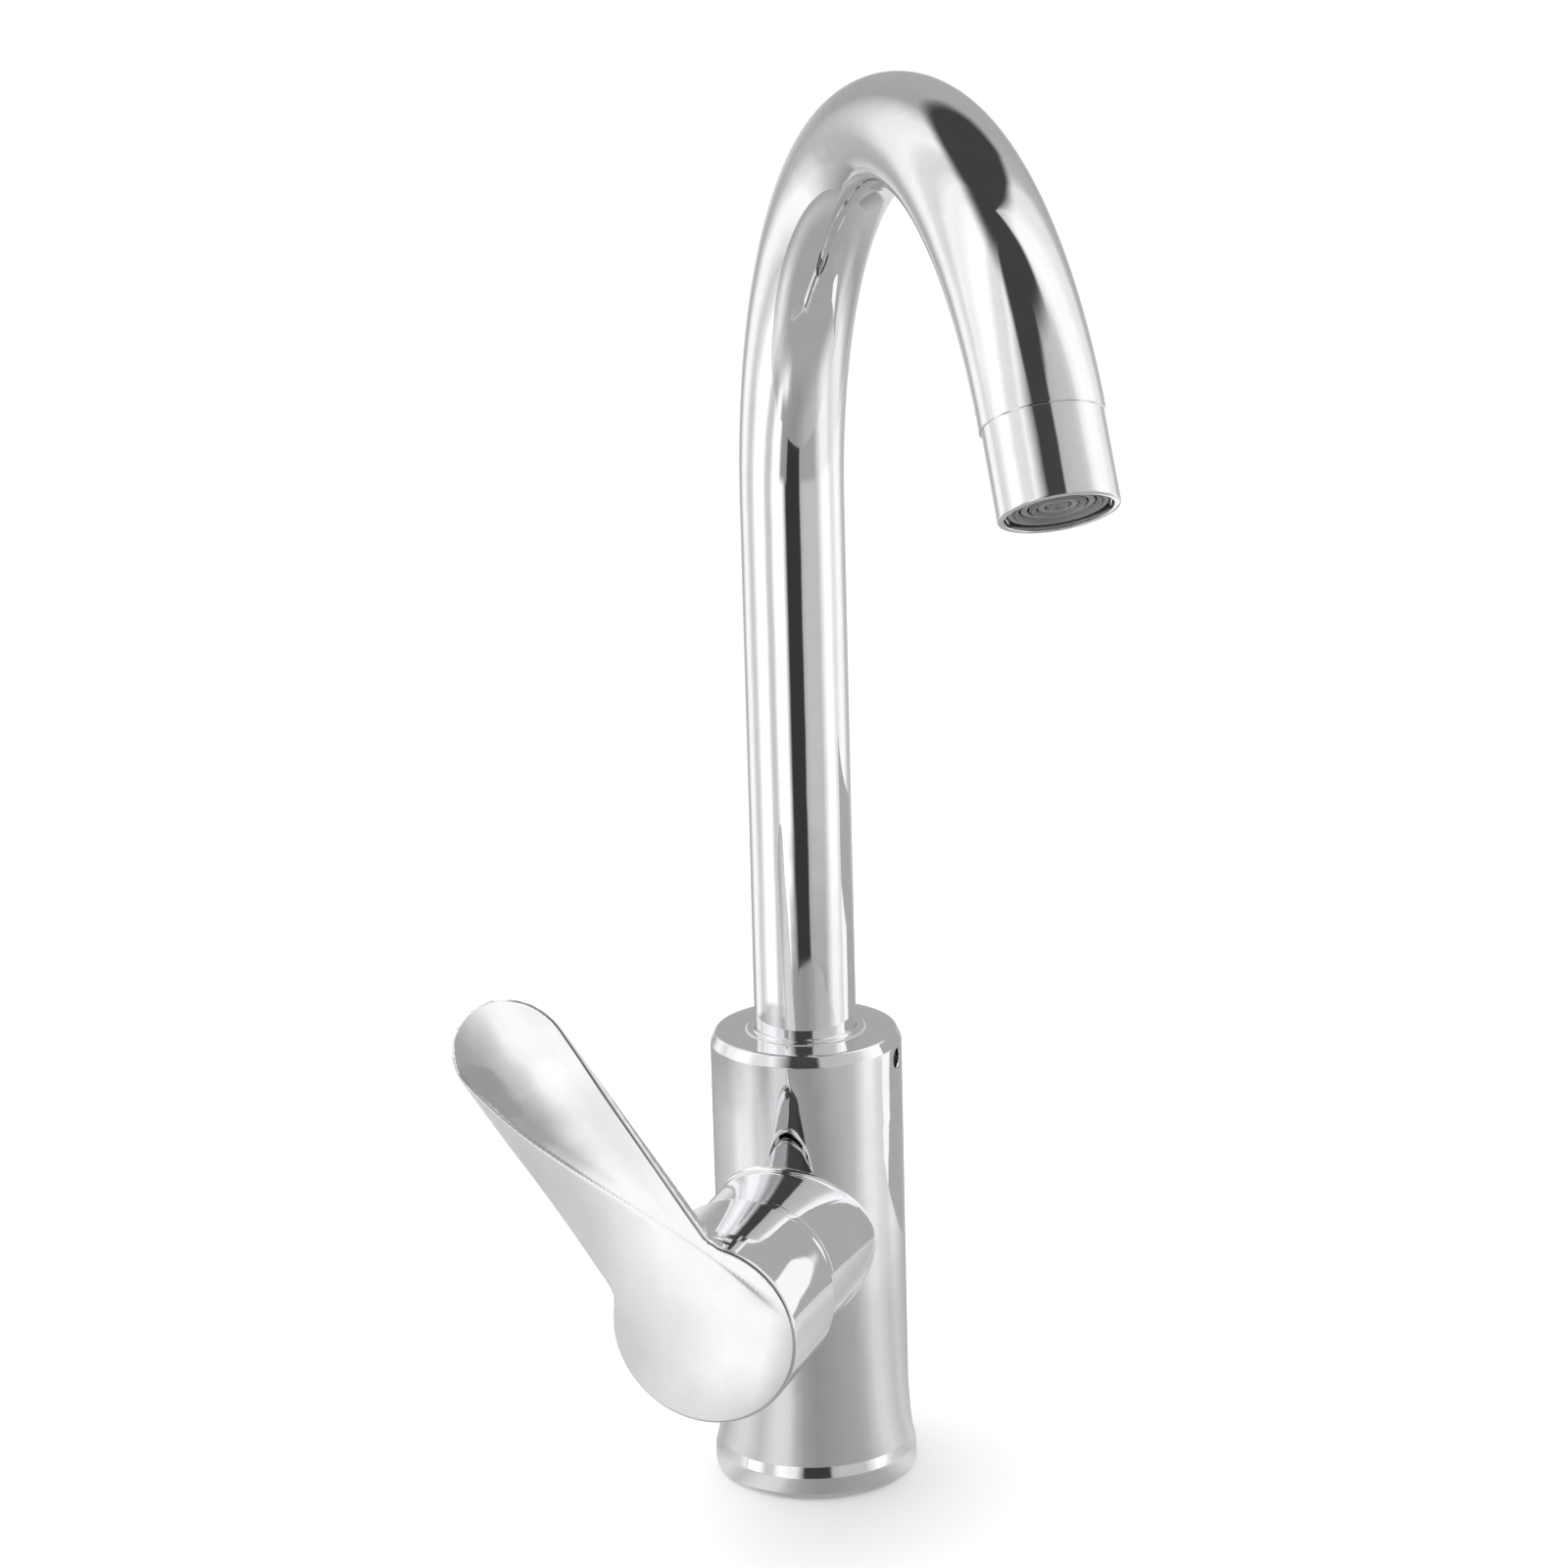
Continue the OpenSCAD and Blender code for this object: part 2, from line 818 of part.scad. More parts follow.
// Pointed screw that clamps the lever to the stem
module lever_screw() {
    stem_side = (screw_at - pivot) * tan(lean) - stem_w / 2 / cos(lean);
    color("slategray")
    on_lever()
        translate([0, stem_side - free, screw_at])
            rotate([90, 0, 0])
                difference() {
                    union() {
                        cylinder(r1 = screw_tip_r, r2 = screw_r, h = screw_cone);
                        translate([0, 0, screw_cone - tiny])
                            cylinder(r = screw_r, h = screw_len - screw_cone + tiny);
                    }
                    translate([0, 0, screw_len - hex_socket_depth])
                        cylinder(r = hex_socket_r, h = screw_len, $fn = 6);
                }
}

// Small plug over the screw
module screw_plug() {
    color("lightgray")
    on_lever()
        translate([0, plug_depth - hub_r, screw_at])
            rotate([90, 0, 0])
                cylinder(r = plug_r, h = plug_depth - plug_short);
}

// Turned foot of the spout: spigot, slope, flange, lock groove and seal seats
module spout_foot() {
    color("silver")
        rotate_extrude()
            polygon([
                [foot_bore_r, foot_low], [bush_r, foot_low],
                [bush_r, bush_z + bush_h], [foot_r, bush_z + bush_h],
                [foot_r, ring_2_z - ring_r], [ring_seat_r, ring_2_z - ring_r],
                [ring_seat_r, ring_2_z + ring_r], [foot_r, ring_2_z + ring_r],
                [foot_r, ring_1_z - ring_r], [ring_seat_r, ring_1_z - ring_r],
                [ring_seat_r, ring_1_z + ring_r], [foot_r, ring_1_z + ring_r],
                [foot_r, lock_z - groove_h / 2], [groove_r, lock_z - groove_h / 2],
                [groove_r, lock_z + groove_h / 2], [foot_r, lock_z + groove_h / 2],
                [foot_r, flange_z], [flange_r, flange_z],
                [flange_r, slope_low], [tube_r + foot_slope_w, slope_low],
                [tube_r, tube_low], [tube_in_r - seated, tube_low],
                [tube_in_r - seated, tube_low + spigot_len], [foot_bore_r, tube_low + spigot_len]
            ]);
}

// Two sealing rings on the foot
module spout_seals() {
    color("black")
        for (z = [ring_1_z, ring_2_z])
            o_ring(foot_r - ring_r + running / 2, ring_r - running / 2, z);
}

// Plastic bush at the bottom of the foot
module spout_lower_bush() {
    color("whitesmoke")
        ring(bush_r + seated, foot_r, bush_z, bush_z + bush_h - seated);
}

// Cross-section of the spout tube
module tube_section() {
    difference() {
        circle(r = tube_r);
        circle(r = tube_in_r);
    }
}

// Spout tube: straight riser and bend
module spout_tube() {
    color("silver")
    on_spout() {
        translate([0, 0, tube_low])
            linear_extrude(height = bend_z - tube_low)
                tube_section();
        translate([bend_r, 0, bend_z])
            rotate([90, 0, 0])
                rotate([0, 0, 180])
                    rotate_extrude(angle = -bend_deg, $fn = 180)
                        translate([bend_r, 0])
                            tube_section();
    }
}

// Threaded brass end brazed into the tube
module outlet_adapter() {
    color("goldenrod")
    at_outlet()
        rotate_extrude()
            polygon([
                [nose_r - nose_wall, -nose_root], [tube_in_r - braze_gap, -nose_root],
                [tube_in_r - braze_gap, 0], [nose_r, 0],
                [nose_r, nose_len], [nose_r - nose_wall, nose_len]
            ]);
}

// Outlet sleeve that screws over the adapter and holds the aerator
module outlet_sleeve() {
    color("silver")
    at_outlet()
        rotate_extrude()
            polygon([
                [nose_r + seated, tiny], [sleeve_r, tiny],
                [sleeve_r, sleeve_len - sleeve_edge], [sleeve_r - sleeve_edge, sleeve_len],
                [insert_r, sleeve_len], [insert_r, sleeve_len - lip_high],
                [insert_r - lip_w, sleeve_len - lip_high - lip_w],
                [insert_r - lip_w, sleeve_len - lip_low + lip_w],
                [insert_r + seated, sleeve_len - lip_low], [insert_r + seated, seat_ring],
                [nose_r + seated, seat_ring]
            ]);
}

// Rubber washer between adapter and aerator
module aerator_washer() {
    color("black")
    at_outlet()
        ring(nose_r - nose_wall - cup_wall, insert_r, seat_ring, insert_low - seated);
}

// Jet plate of the aerator, with a ring of small holes
module aerator_jet_plate() {
    jets = 12;
    color("ivory")
    at_outlet()
        translate([0, 0, insert_low])
            difference() {
                cylinder(r = screen_r, h = jet_h);
                for (i = [0:jets - 1])
                    rotate([0, 0, i * 360 / jets])
                        translate([screen_r - jet_in, 0, -over])
                            cylinder(r = jet_r, h = jet_h + 2 * over, $fn = 16);
            }
}

// Two wire screens, drawn as plain discs on a spacer ring
module aerator_screens() {
    color("darkgray")
    at_outlet()
        translate([0, 0, insert_low + screen_up]) {
            cylinder(r = screen_r, h = screen_h);
            ring(screen_r - cup_wall, screen_r, screen_h, screen_pitch);
            translate([0, 0, screen_pitch])
                cylinder(r = screen_r, h = screen_h);
        }
}

// Plastic cup of the aerator: ring-shaped grille with four spokes
module aerator_insert() {
    step_top = insert_low + cup_step_up;
    step_low = step_top - cup_step_h;
    cup_r = insert_r - cup_step_w;
    hole_r = cup_r - cup_wall;
    color("gray")
    at_outlet() {
        ring(insert_r - cup_wall, insert_r - seated, insert_low, step_top);
        ring(hole_r, cup_r, step_low, insert_top);
        intersection() {
            cylinder(r = hole_r + tiny, h = sleeve_len);
            translate([0, 0, insert_top - grille_h]) {
                for (i = [0:grille_rings - 1])
                    ring(grille_first + i * grille_pitch - grille_rib / 2,
                        grille_first + i * grille_pitch + grille_rib / 2, 0, grille_h);
                for (a = [0, 90])
                    rotate([0, 0, a])
                        translate([-insert_r, -grille_rib / 2, grille_rib / 2])
                            cube([2 * insert_r, grille_rib, grille_h - grille_rib]);
            }
        }
    }
}

tap_body();
base_seal();
spout_lock_screw();
spout_glide_ring();
cartridge_base();
port_seals();
disc_seals();
fixed_disc();
cartridge_housing();
cartridge_nut();
dome_cover();
moving_disc();
disc_slider();
slider_seal();
turning_collar();
collar_seal();
stem_pin();
cartridge_stem();
lever_handle();
lever_screw();
screw_plug();
spout_foot();
spout_seals();
spout_lower_bush();
spout_tube();
outlet_adapter();
outlet_sleeve();
aerator_washer();
aerator_jet_plate();
aerator_screens();
aerator_insert();
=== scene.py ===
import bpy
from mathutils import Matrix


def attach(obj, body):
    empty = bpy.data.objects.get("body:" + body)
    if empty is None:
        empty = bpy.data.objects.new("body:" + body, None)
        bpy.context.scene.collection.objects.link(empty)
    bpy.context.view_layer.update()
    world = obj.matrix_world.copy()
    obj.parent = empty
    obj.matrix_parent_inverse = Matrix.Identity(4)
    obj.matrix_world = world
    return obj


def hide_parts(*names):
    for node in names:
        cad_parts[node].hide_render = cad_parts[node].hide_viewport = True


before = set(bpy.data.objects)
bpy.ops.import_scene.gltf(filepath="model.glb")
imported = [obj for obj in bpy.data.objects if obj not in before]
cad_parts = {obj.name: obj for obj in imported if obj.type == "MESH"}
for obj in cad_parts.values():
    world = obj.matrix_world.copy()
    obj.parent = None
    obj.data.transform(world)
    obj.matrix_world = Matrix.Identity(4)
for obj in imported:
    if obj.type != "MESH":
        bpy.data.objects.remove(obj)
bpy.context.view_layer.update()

import math

import bpy
import numpy as np
from mathutils import Matrix, Vector

bpy.ops.object.select_all(action="DESELECT")
mm = 0.001


# Body casting. One brass casting, turned on the outside, polished and chrome plated, with the side
# barrel for the valve growing out of it in a narrow rolled fillet. The bores stay bare brass.
body_r = 23.6
body_h = 115.0
barrel_r = 20.6
barrel_z = 65.2
barrel_reach = 43.03
sides = 192


def turned(name, profile, closed=True, segments=sides):
    """Draws a profile of (radius, height) points in mm up from a circle, as on a lathe."""
    (r0, z0), rest = profile[0], list(profile[1:])
    fill = "NOTHING" if closed else "NGON"
    bpy.ops.mesh.primitive_circle_add(
        vertices=segments, radius=r0 * mm, fill_type=fill, location=(0, 0, z0 * mm))
    piece = bpy.context.object
    piece.name = name
    bpy.ops.object.mode_set(mode="EDIT")
    for r1, z1 in rest + ([profile[0]] if closed else []):
        bpy.ops.mesh.extrude_region_move(TRANSFORM_OT_translate={"value": (0, 0, (z1 - z0) * mm)})
        bpy.ops.transform.resize(value=(r1 / r0, r1 / r0, 1))
        r0, z0 = r1, z1
    bpy.ops.mesh.select_all(action="SELECT")
    bpy.ops.mesh.remove_doubles(threshold=2e-7)
    bpy.ops.mesh.normals_make_consistent(inside=False)
    bpy.ops.object.mode_set(mode="OBJECT")
    bpy.ops.object.transform_apply(location=True, rotation=True, scale=True)
    return piece


def pick(piece):
    """Makes one piece the selected and active one."""
    bpy.ops.object.select_all(action="DESELECT")
    piece.select_set(True)
    bpy.context.view_layer.objects.active = piece


def chosen(piece, kind, test):
    """Goes into edit mode with the vertices or faces selected that pass a test."""
    pick(piece)
    bpy.ops.object.mode_set(mode="EDIT")
    bpy.ops.mesh.select_mode(type=kind)
    bpy.ops.mesh.select_all(action="DESELECT")
    bpy.ops.object.mode_set(mode="OBJECT")
    for item in piece.data.vertices if kind == "VERT" else piece.data.polygons:
        item.select = bool(test(item))
    bpy.ops.object.mode_set(mode="EDIT")


def placed(piece, place):
    """Moves a piece to its place and keeps that place in its mesh."""
    pick(piece)
    piece.matrix_world = place
    bpy.ops.object.transform_apply(location=True, rotation=True, scale=True)
    return piece


def modified(piece, kind, **settings):
    """Adds one modifier and applies it."""
    pick(piece)
    modifier = piece.modifiers.new(kind.lower(), kind)
    for key, value in settings.items():
        setattr(modifier, key, value)
    bpy.ops.object.modifier_apply(modifier=modifier.name)
    return piece


def cut(piece, cutter, operation="DIFFERENCE"):
    """Cuts or joins with another solid, which is then thrown away."""
    modified(piece, "BOOLEAN", operation=operation, object=cutter, solver="EXACT",
             material_mode="TRANSFER")
    bpy.data.objects.remove(cutter)
    return piece


def softened(piece, width, angle=12, segments=3):
    """Breaks the sharp edges as buffing does."""
    return modified(piece, "BEVEL", width=width * mm, segments=segments, limit_method="ANGLE",
                    angle_limit=math.radians(angle), use_clamp_overlap=True)


def shaded(piece, angle=30):
    """Smooth shading that leaves flat and straight faces true."""
    pick(piece)
    bpy.ops.object.shade_smooth_by_angle(angle=math.radians(angle))
    return modified(piece, "WEIGHTED_NORMAL", keep_sharp=True, weight=60)


def on_barrel(turn=0):
    """The barrel's frame: z outwards along the barrel, y up, turned round the barrel."""
    return (Matrix.Translation((0, 0, barrel_z * mm)) @ Matrix.Rotation(math.radians(90), 4, "X")
            @ Matrix.Rotation(math.radians(turn), 4, "Z"))


# Two node groups that several finishes share: what polishing and handling leave on metal, and the
# fine grain of moulded and machined surfaces.
def new_group(name, inputs, outputs):
    """An empty shader group with named number inputs, a Vector input and named outputs."""
    group = bpy.data.node_groups.new(name, "ShaderNodeTree")
    group.interface.new_socket("Vector", in_out="INPUT", socket_type="NodeSocketVector")
    for label, value in inputs.items():
        socket = group.interface.new_socket(label, in_out="INPUT", socket_type="NodeSocketFloat")
        socket.default_value = value
    for label in outputs:
        group.interface.new_socket(label, in_out="OUTPUT", socket_type="NodeSocketFloat")
    return group, group.nodes.new("NodeGroupInput"), group.nodes.new("NodeGroupOutput")


def node(tree, kind, settings=(), **inputs):
    """Adds a node, sets its settings, then its inputs to a value or to another node's output."""
    made = tree.nodes.new(kind)
    for key, value in dict(settings).items():
        setattr(made, key, value)
    for key, value in inputs.items():
        label = key.replace("_", " ")
        found = [s for s in made.inputs if s.name == label and s.enabled]
        socket = found[0] if found else made.inputs[int(key[1:])]
        if isinstance(value, bpy.types.NodeSocket):
            tree.links.new(value, socket)
        else:
            socket.default_value = value
    return made


polish, polish_in, polish_out = new_group(
    "polish_marks", {"Wave Scale": 90.0, "Swirl Scale": 900.0, "Speck Scale": 260.0},
    ("Wave", "Haze", "Swirl", "Speck"))
wave = node(polish, "ShaderNodeTexNoise", Vector=polish_in.outputs["Vector"],
            Scale=polish_in.outputs["Wave Scale"], Detail=1.0, Roughness=0.4)
haze = node(polish, "ShaderNodeTexNoise", Vector=polish_in.outputs["Vector"],
            Scale=140.0, Detail=5.0, Roughness=0.62, Distortion=0.6)
swirl = node(polish, "ShaderNodeTexNoise", Vector=polish_in.outputs["Vector"],
             Scale=polish_in.outputs["Swirl Scale"], Detail=2.0, Roughness=0.7, Distortion=2.5)
swirl_line = node(polish, "ShaderNodeMapRange", From_Min=0.47, From_Max=0.53,
                  Value=swirl.outputs[0])
swirl_peak = node(polish, "ShaderNodeMath", {"operation": "PINGPONG"},
                  _0=swirl_line.outputs[0], _1=0.5)
speck = node(polish, "ShaderNodeTexVoronoi", Vector=polish_in.outputs["Vector"],
             Scale=polish_in.outputs["Speck Scale"], Randomness=1.0)
speck_dot = node(polish, "ShaderNodeMapRange", Value=speck.outputs["Distance"],
                 From_Min=0.075, From_Max=0.03)
speck_pick = node(polish, "ShaderNodeMapRange", Value=haze.outputs[0], From_Min=0.56, From_Max=0.62)
speck_some = node(polish, "ShaderNodeMath", {"operation": "MULTIPLY"},
                  _0=speck_dot.outputs[0], _1=speck_pick.outputs[0])
polish.links.new(wave.outputs[0], polish_out.inputs["Wave"])
polish.links.new(haze.outputs[0], polish_out.inputs["Haze"])
polish.links.new(swirl_peak.outputs[0], polish_out.inputs["Swirl"])
polish.links.new(speck_some.outputs[0], polish_out.inputs["Speck"])

grain, grain_in, grain_out = new_group(
    "fine_grain", {"Grain Scale": 1500.0, "Cloud Scale": 120.0}, ("Grain", "Cloud", "Pit"))
fine = node(grain, "ShaderNodeTexNoise", Vector=grain_in.outputs["Vector"],
            Scale=grain_in.outputs["Grain Scale"], Detail=4.0, Roughness=0.6)
cloud = node(grain, "ShaderNodeTexNoise", Vector=grain_in.outputs["Vector"],
             Scale=grain_in.outputs["Cloud Scale"], Detail=3.0)
pit = node(grain, "ShaderNodeTexVoronoi", Vector=grain_in.outputs["Vector"],
           Scale=grain_in.outputs["Grain Scale"])
pit_deep = node(grain, "ShaderNodeMapRange", Value=pit.outputs["Distance"],
                From_Min=0.25, From_Max=0.05)
grain.links.new(fine.outputs[0], grain_out.inputs["Grain"])
grain.links.new(cloud.outputs[0], grain_out.inputs["Cloud"])
grain.links.new(pit_deep.outputs[0], grain_out.inputs["Pit"])


def new_material(name):
    """A material with an empty Principled shader, its tree and the object coordinates."""
    material = bpy.data.materials.new(name)
    material.use_nodes = True
    tree = material.node_tree
    tree.nodes.clear()
    shader = tree.nodes.new("ShaderNodeBsdfPrincipled")
    output = tree.nodes.new("ShaderNodeOutputMaterial")
    tree.links.new(shader.outputs[0], output.inputs[0])
    return material, tree, shader, tree.nodes.new("ShaderNodeTexCoord").outputs["Object"]


def mixed(tree, factor, dark, light):
    """A colour that runs between two as the factor goes from 0 to 1."""
    blend = node(tree, "ShaderNodeMix", {"data_type": "RGBA"}, Factor=factor)
    blend.inputs[6].default_value = (*dark, 1)
    blend.inputs[7].default_value = (*light, 1)
    return blend.outputs[2]


def ranged(tree, value, low, high, start=0.0, end=1.0):
    """Maps a value that runs from start to end on to low to high."""
    return node(tree, "ShaderNodeMapRange", Value=value, From_Min=start, From_Max=end,
                To_Min=low, To_Max=high).outputs[0]


def uneven(tree, shader, height, strength, depth):
    """Lets a height, up to depth in metres, turn the shader's normal."""
    bump = node(tree, "ShaderNodeBump", Height=height, Strength=strength, Distance=depth)
    tree.links.new(bump.outputs[0], shader.inputs["Normal"])


def chrome_plate(name, wave_scale=90.0, wave_depth=0.0012):
    """Polished chrome: a slow wave from hand polishing, haze, swirl marks and a few specks."""
    material, tree, shader, where = new_material(name)
    marks = node(tree, "ShaderNodeGroup", {"node_tree": polish}, Vector=where,
                 Wave_Scale=wave_scale, Swirl_Scale=900.0, Speck_Scale=260.0)
    shader.inputs["Metallic"].default_value = 1.0
    shader.inputs["IOR"].default_value = 2.6
    tint = mixed(tree, ranged(tree, marks.outputs["Haze"], 0.0, 1.0, 0.3, 0.7),
                 (0.88, 0.885, 0.9), (0.93, 0.932, 0.94))
    speck_tint = node(tree, "ShaderNodeMix", {"data_type": "RGBA"},
                      Factor=ranged(tree, marks.outputs["Speck"], 0.0, 0.35))
    tree.links.new(tint, speck_tint.inputs[6])
    speck_tint.inputs[7].default_value = (0.35, 0.34, 0.33, 1)
    tree.links.new(speck_tint.outputs[2], shader.inputs["Base Color"])
    rough = node(tree, "ShaderNodeMath", {"operation": "ADD"},
                 _0=ranged(tree, marks.outputs["Haze"], 0.018, 0.045, 0.3, 0.7),
                 _1=ranged(tree, marks.outputs["Swirl"], 0.0, 0.03, 0.0, 0.5))
    tree.links.new(rough.outputs[0], shader.inputs["Roughness"])
    uneven(tree, shader, marks.outputs["Wave"], 0.12, wave_depth)
    return material


def machined(name, dark, light, roughness, turning=2200.0, direction="Z"):
    """Bare turned metal with fine tool rings along one axis, cloudy tarnish and grain."""
    material, tree, shader, where = new_material(name)
    grains = node(tree, "ShaderNodeGroup", {"node_tree": grain}, Vector=where,
                  Grain_Scale=1800.0, Cloud_Scale=150.0)
    rings = node(tree, "ShaderNodeTexWave", {"bands_direction": direction}, Vector=where,
                 Scale=turning, Distortion=0.8, Detail=1.0)
    shader.inputs["Metallic"].default_value = 1.0
    tree.links.new(mixed(tree, ranged(tree, grains.outputs["Cloud"], 0.0, 1.0, 0.35, 0.65),
                         dark, light), shader.inputs["Base Color"])
    tree.links.new(ranged(tree, grains.outputs["Grain"], roughness * 0.75, roughness * 1.3,
                          0.3, 0.7), shader.inputs["Roughness"])
    uneven(tree, shader, rings.outputs["Fac"], 0.25, 0.00002)
    return material


chrome = chrome_plate("polished_chrome")
bare_brass = machined("bare_brass", (0.52, 0.36, 0.13), (0.72, 0.54, 0.25), 0.32)

# The skin round the barrel: rows run from the barrel's end, over the fillet, out to a window in the
# turned wall. Every point lies on the barrel, on the fillet's ball or on the body.
fillet_r = 1.2
window_cols = 90
window_rows = 78
window_half = 30.0
window_turn = window_cols / 2 * 2 * math.pi / sides


def barrel_skin():
    """Bends a grid primitive over barrel, fillet and wall, and closes the barrel's end."""
    cols = np.arange(window_cols) / window_cols * 2 - 1
    rows = np.arange(window_rows) / window_rows * 2 - 1
    one = np.ones
    rim_a = window_turn * np.concatenate([one(window_rows), -cols, -one(window_rows), cols])
    rim_z = window_half * np.concatenate([rows, one(window_cols), -rows, -one(window_cols)])
    wide = barrel_r + fillet_r
    far = body_r + fillet_r
    turn = np.linspace(-math.pi, math.pi, 4001)
    seen = np.arctan2(wide * np.sin(turn), body_r * np.arcsin(wide * np.cos(turn) / far))
    angle = np.interp(np.arctan2(rim_z, body_r * rim_a), seen, turn)
    ball = np.stack([wide * np.cos(angle), -np.sqrt(far ** 2 - (wide * np.cos(angle)) ** 2),
                     wide * np.sin(angle)], 1)
    on_wall = ball * [body_r / far, body_r / far, 1]
    on_tube = np.stack([barrel_r * np.cos(angle), ball[:, 1], barrel_r * np.sin(angle)], 1)
    end = on_tube.copy()
    end[:, 1] = -barrel_reach
    layers = []
    for t in (0, 0.012, 0.1, 0.25, 0.4, 0.55, 0.7, 0.82, 0.92, 0.98):
        layers.append(end + (on_tube - end) * t)
    fillet_rows = 8
    a = on_tube - ball
    b = on_wall - ball
    spread = np.arccos(np.clip((a * b).sum(1) / fillet_r ** 2, -1, 1))[:, None]
    for t in np.linspace(0, 1, fillet_rows + 1):
        arc = (np.sin((1 - t) * spread) * a + np.sin(t * spread) * b) / np.sin(spread)
        layers.append(ball + arc)
    wall_a = np.arcsin(on_wall[:, 0] / body_r)
    for t in (0.03, 0.08, 0.15, 0.24, 0.34, 0.45, 0.56, 0.67, 0.78, 0.89, 1.0):
        turn_a = wall_a + (rim_a - wall_a) * t
        layers.append(np.stack([body_r * np.sin(turn_a), -body_r * np.cos(turn_a),
                                on_wall[:, 2] + (rim_z - on_wall[:, 2]) * t], 1))
    shape = np.array(layers)
    count = shape.shape[1]
    bpy.ops.mesh.primitive_grid_add(x_subdivisions=count, y_subdivisions=len(layers) - 1)
    skin = bpy.context.object
    closed = np.concatenate([shape, shape[:, :1]], 1).reshape(-1, 3)
    closed[:, 2] += barrel_z
    skin.data.vertices.foreach_set("co", (closed * mm).ravel())
    skin.data.update()
    bpy.ops.object.mode_set(mode="EDIT")
    bpy.ops.mesh.select_all(action="SELECT")
    bpy.ops.mesh.remove_doubles(threshold=1e-7)
    bpy.ops.object.mode_set(mode="OBJECT")
    chosen(skin, "VERT", lambda v: abs(v.co.y + barrel_reach * mm) < 1e-7)
    bpy.ops.mesh.edge_face_add()
    bpy.ops.object.mode_set(mode="OBJECT")
    return skin


# The turned wall: base edge, upright band, bevel, flare, straight wall and top bevel.
base_r = 25.35
flare_low = 8.5
flare_h = 16.5
flare_w = 0.95
base_bevel = 5.6
top_bevel = 1.3
top_bevel_low = 112.2


def rounded(corner, before, after, radius, steps=5):
    """Points that round one corner of a profile."""
    corner, before, after = np.array(corner), np.array(before), np.array(after)
    a = (before - corner) / np.linalg.norm(before - corner)
    b = (after - corner) / np.linalg.norm(after - corner)
    half = math.acos(np.clip(a @ b, -1, 1)) / 2
    middle = corner + (a + b) / np.linalg.norm(a + b) * radius / math.sin(half)
    start = corner + a * radius / math.tan(half) - middle
    end = corner + b * radius / math.tan(half) - middle
    spread = math.acos(np.clip(start @ end / radius ** 2, -1, 1))
    return [tuple(middle + (math.sin((1 - t) * spread) * start + math.sin(t * spread) * end)
                  / math.sin(spread)) for t in np.linspace(0, 1, steps + 1)]


flare = [(body_r + flare_w * (1 - t) ** 2, flare_low + flare_h * t)
         for t in (0, 0.06, 0.14, 0.23, 0.33, 0.44, 0.56, 0.69, 0.84, 1)]
wall_profile = rounded((base_r, 0), (base_r - 4, 0), (base_r, 4), 2.0)
wall_profile += rounded((base_r, base_bevel), (base_r, 4), flare[0], 2.6)
wall_profile += rounded(flare[0], (base_r, base_bevel), flare[2], 2.2) + flare[2:]
wall_profile += [(body_r, z) for z in (28, 31.5)]
wall_profile += [(body_r, barrel_z + window_half * (i / window_rows * 2 - 1))
                 for i in range(window_rows + 1)]
wall_profile += [(body_r, z) for z in (98, 102, 106, 109, 111)]
bevel_foot = (body_r, top_bevel_low)
bevel_head = (body_r - top_bevel, body_h)
wall_profile += rounded(bevel_foot, (body_r, 111), bevel_head, 0.35, 3)
wall_profile += rounded(bevel_head, bevel_foot, (body_r - 4, body_h), 0.9)
body_casting = turned("body_casting", wall_profile, closed=False)
chosen(body_casting, "FACE", lambda face: (
    abs(math.atan2(face.center.x, -face.center.y)) < window_turn
    and abs(face.center.z - barrel_z * mm) < window_half * mm and len(face.vertices) == 4))
bpy.ops.mesh.delete(type="FACE")
bpy.ops.object.mode_set(mode="OBJECT")
skin = barrel_skin()
bpy.ops.object.select_all(action="DESELECT")
skin.select_set(True)
body_casting.select_set(True)
bpy.context.view_layer.objects.active = body_casting
bpy.ops.object.join()
bpy.ops.object.mode_set(mode="EDIT")
bpy.ops.mesh.select_all(action="SELECT")
bpy.ops.mesh.remove_doubles(threshold=2e-6)
bpy.ops.mesh.normals_make_consistent(inside=False)
bpy.ops.object.mode_set(mode="OBJECT")
body_casting.data.materials.clear()
body_casting.data.materials.append(chrome)
softened(body_casting, 0.16, 28)

# The bores, cut one by one, each cutter running out past the surface. The hose inlets and the stud
# hole show their threads from below.
seat = 12.0
cartridge_r = 17.6
nut_seat = 36.53
nut_thread_r = 18.73
inlet_port = (7.2, -3, 3.2)
outlet_port = (8, 3.8)
peg_hole = (13.2, 2.6, 1.43)
peg_deep = 3.5
spout_socket_r = 14.0
socket_low = 85
glide_seat = 113.5
glide_seat_r = 14.93
hose_x = 9.5
hose_deep = 14.0
stud_y = 13.5
lock_z = 109.0
lock_screw_r = 2.53


def thread(radius, low, high, pitch, depth):
    """The profile of a tapped hole, one tooth per pitch."""
    points = []
    z = low
    while z < high - pitch:
        points += [(radius, z), (radius + depth, z + pitch / 2)]
        z += pitch
    return points + [(radius, z)]


def bore(profile, place=Matrix.Identity(4), segments=64, finish=bare_brass):
    """Cuts a turned hole into the body, bare brass unless the plating reaches into it."""
    cutter = turned("bore", profile, closed=False, segments=segments)
    cutter.data.materials.append(finish)
    placed(cutter, place)
    cut(body_casting, cutter)


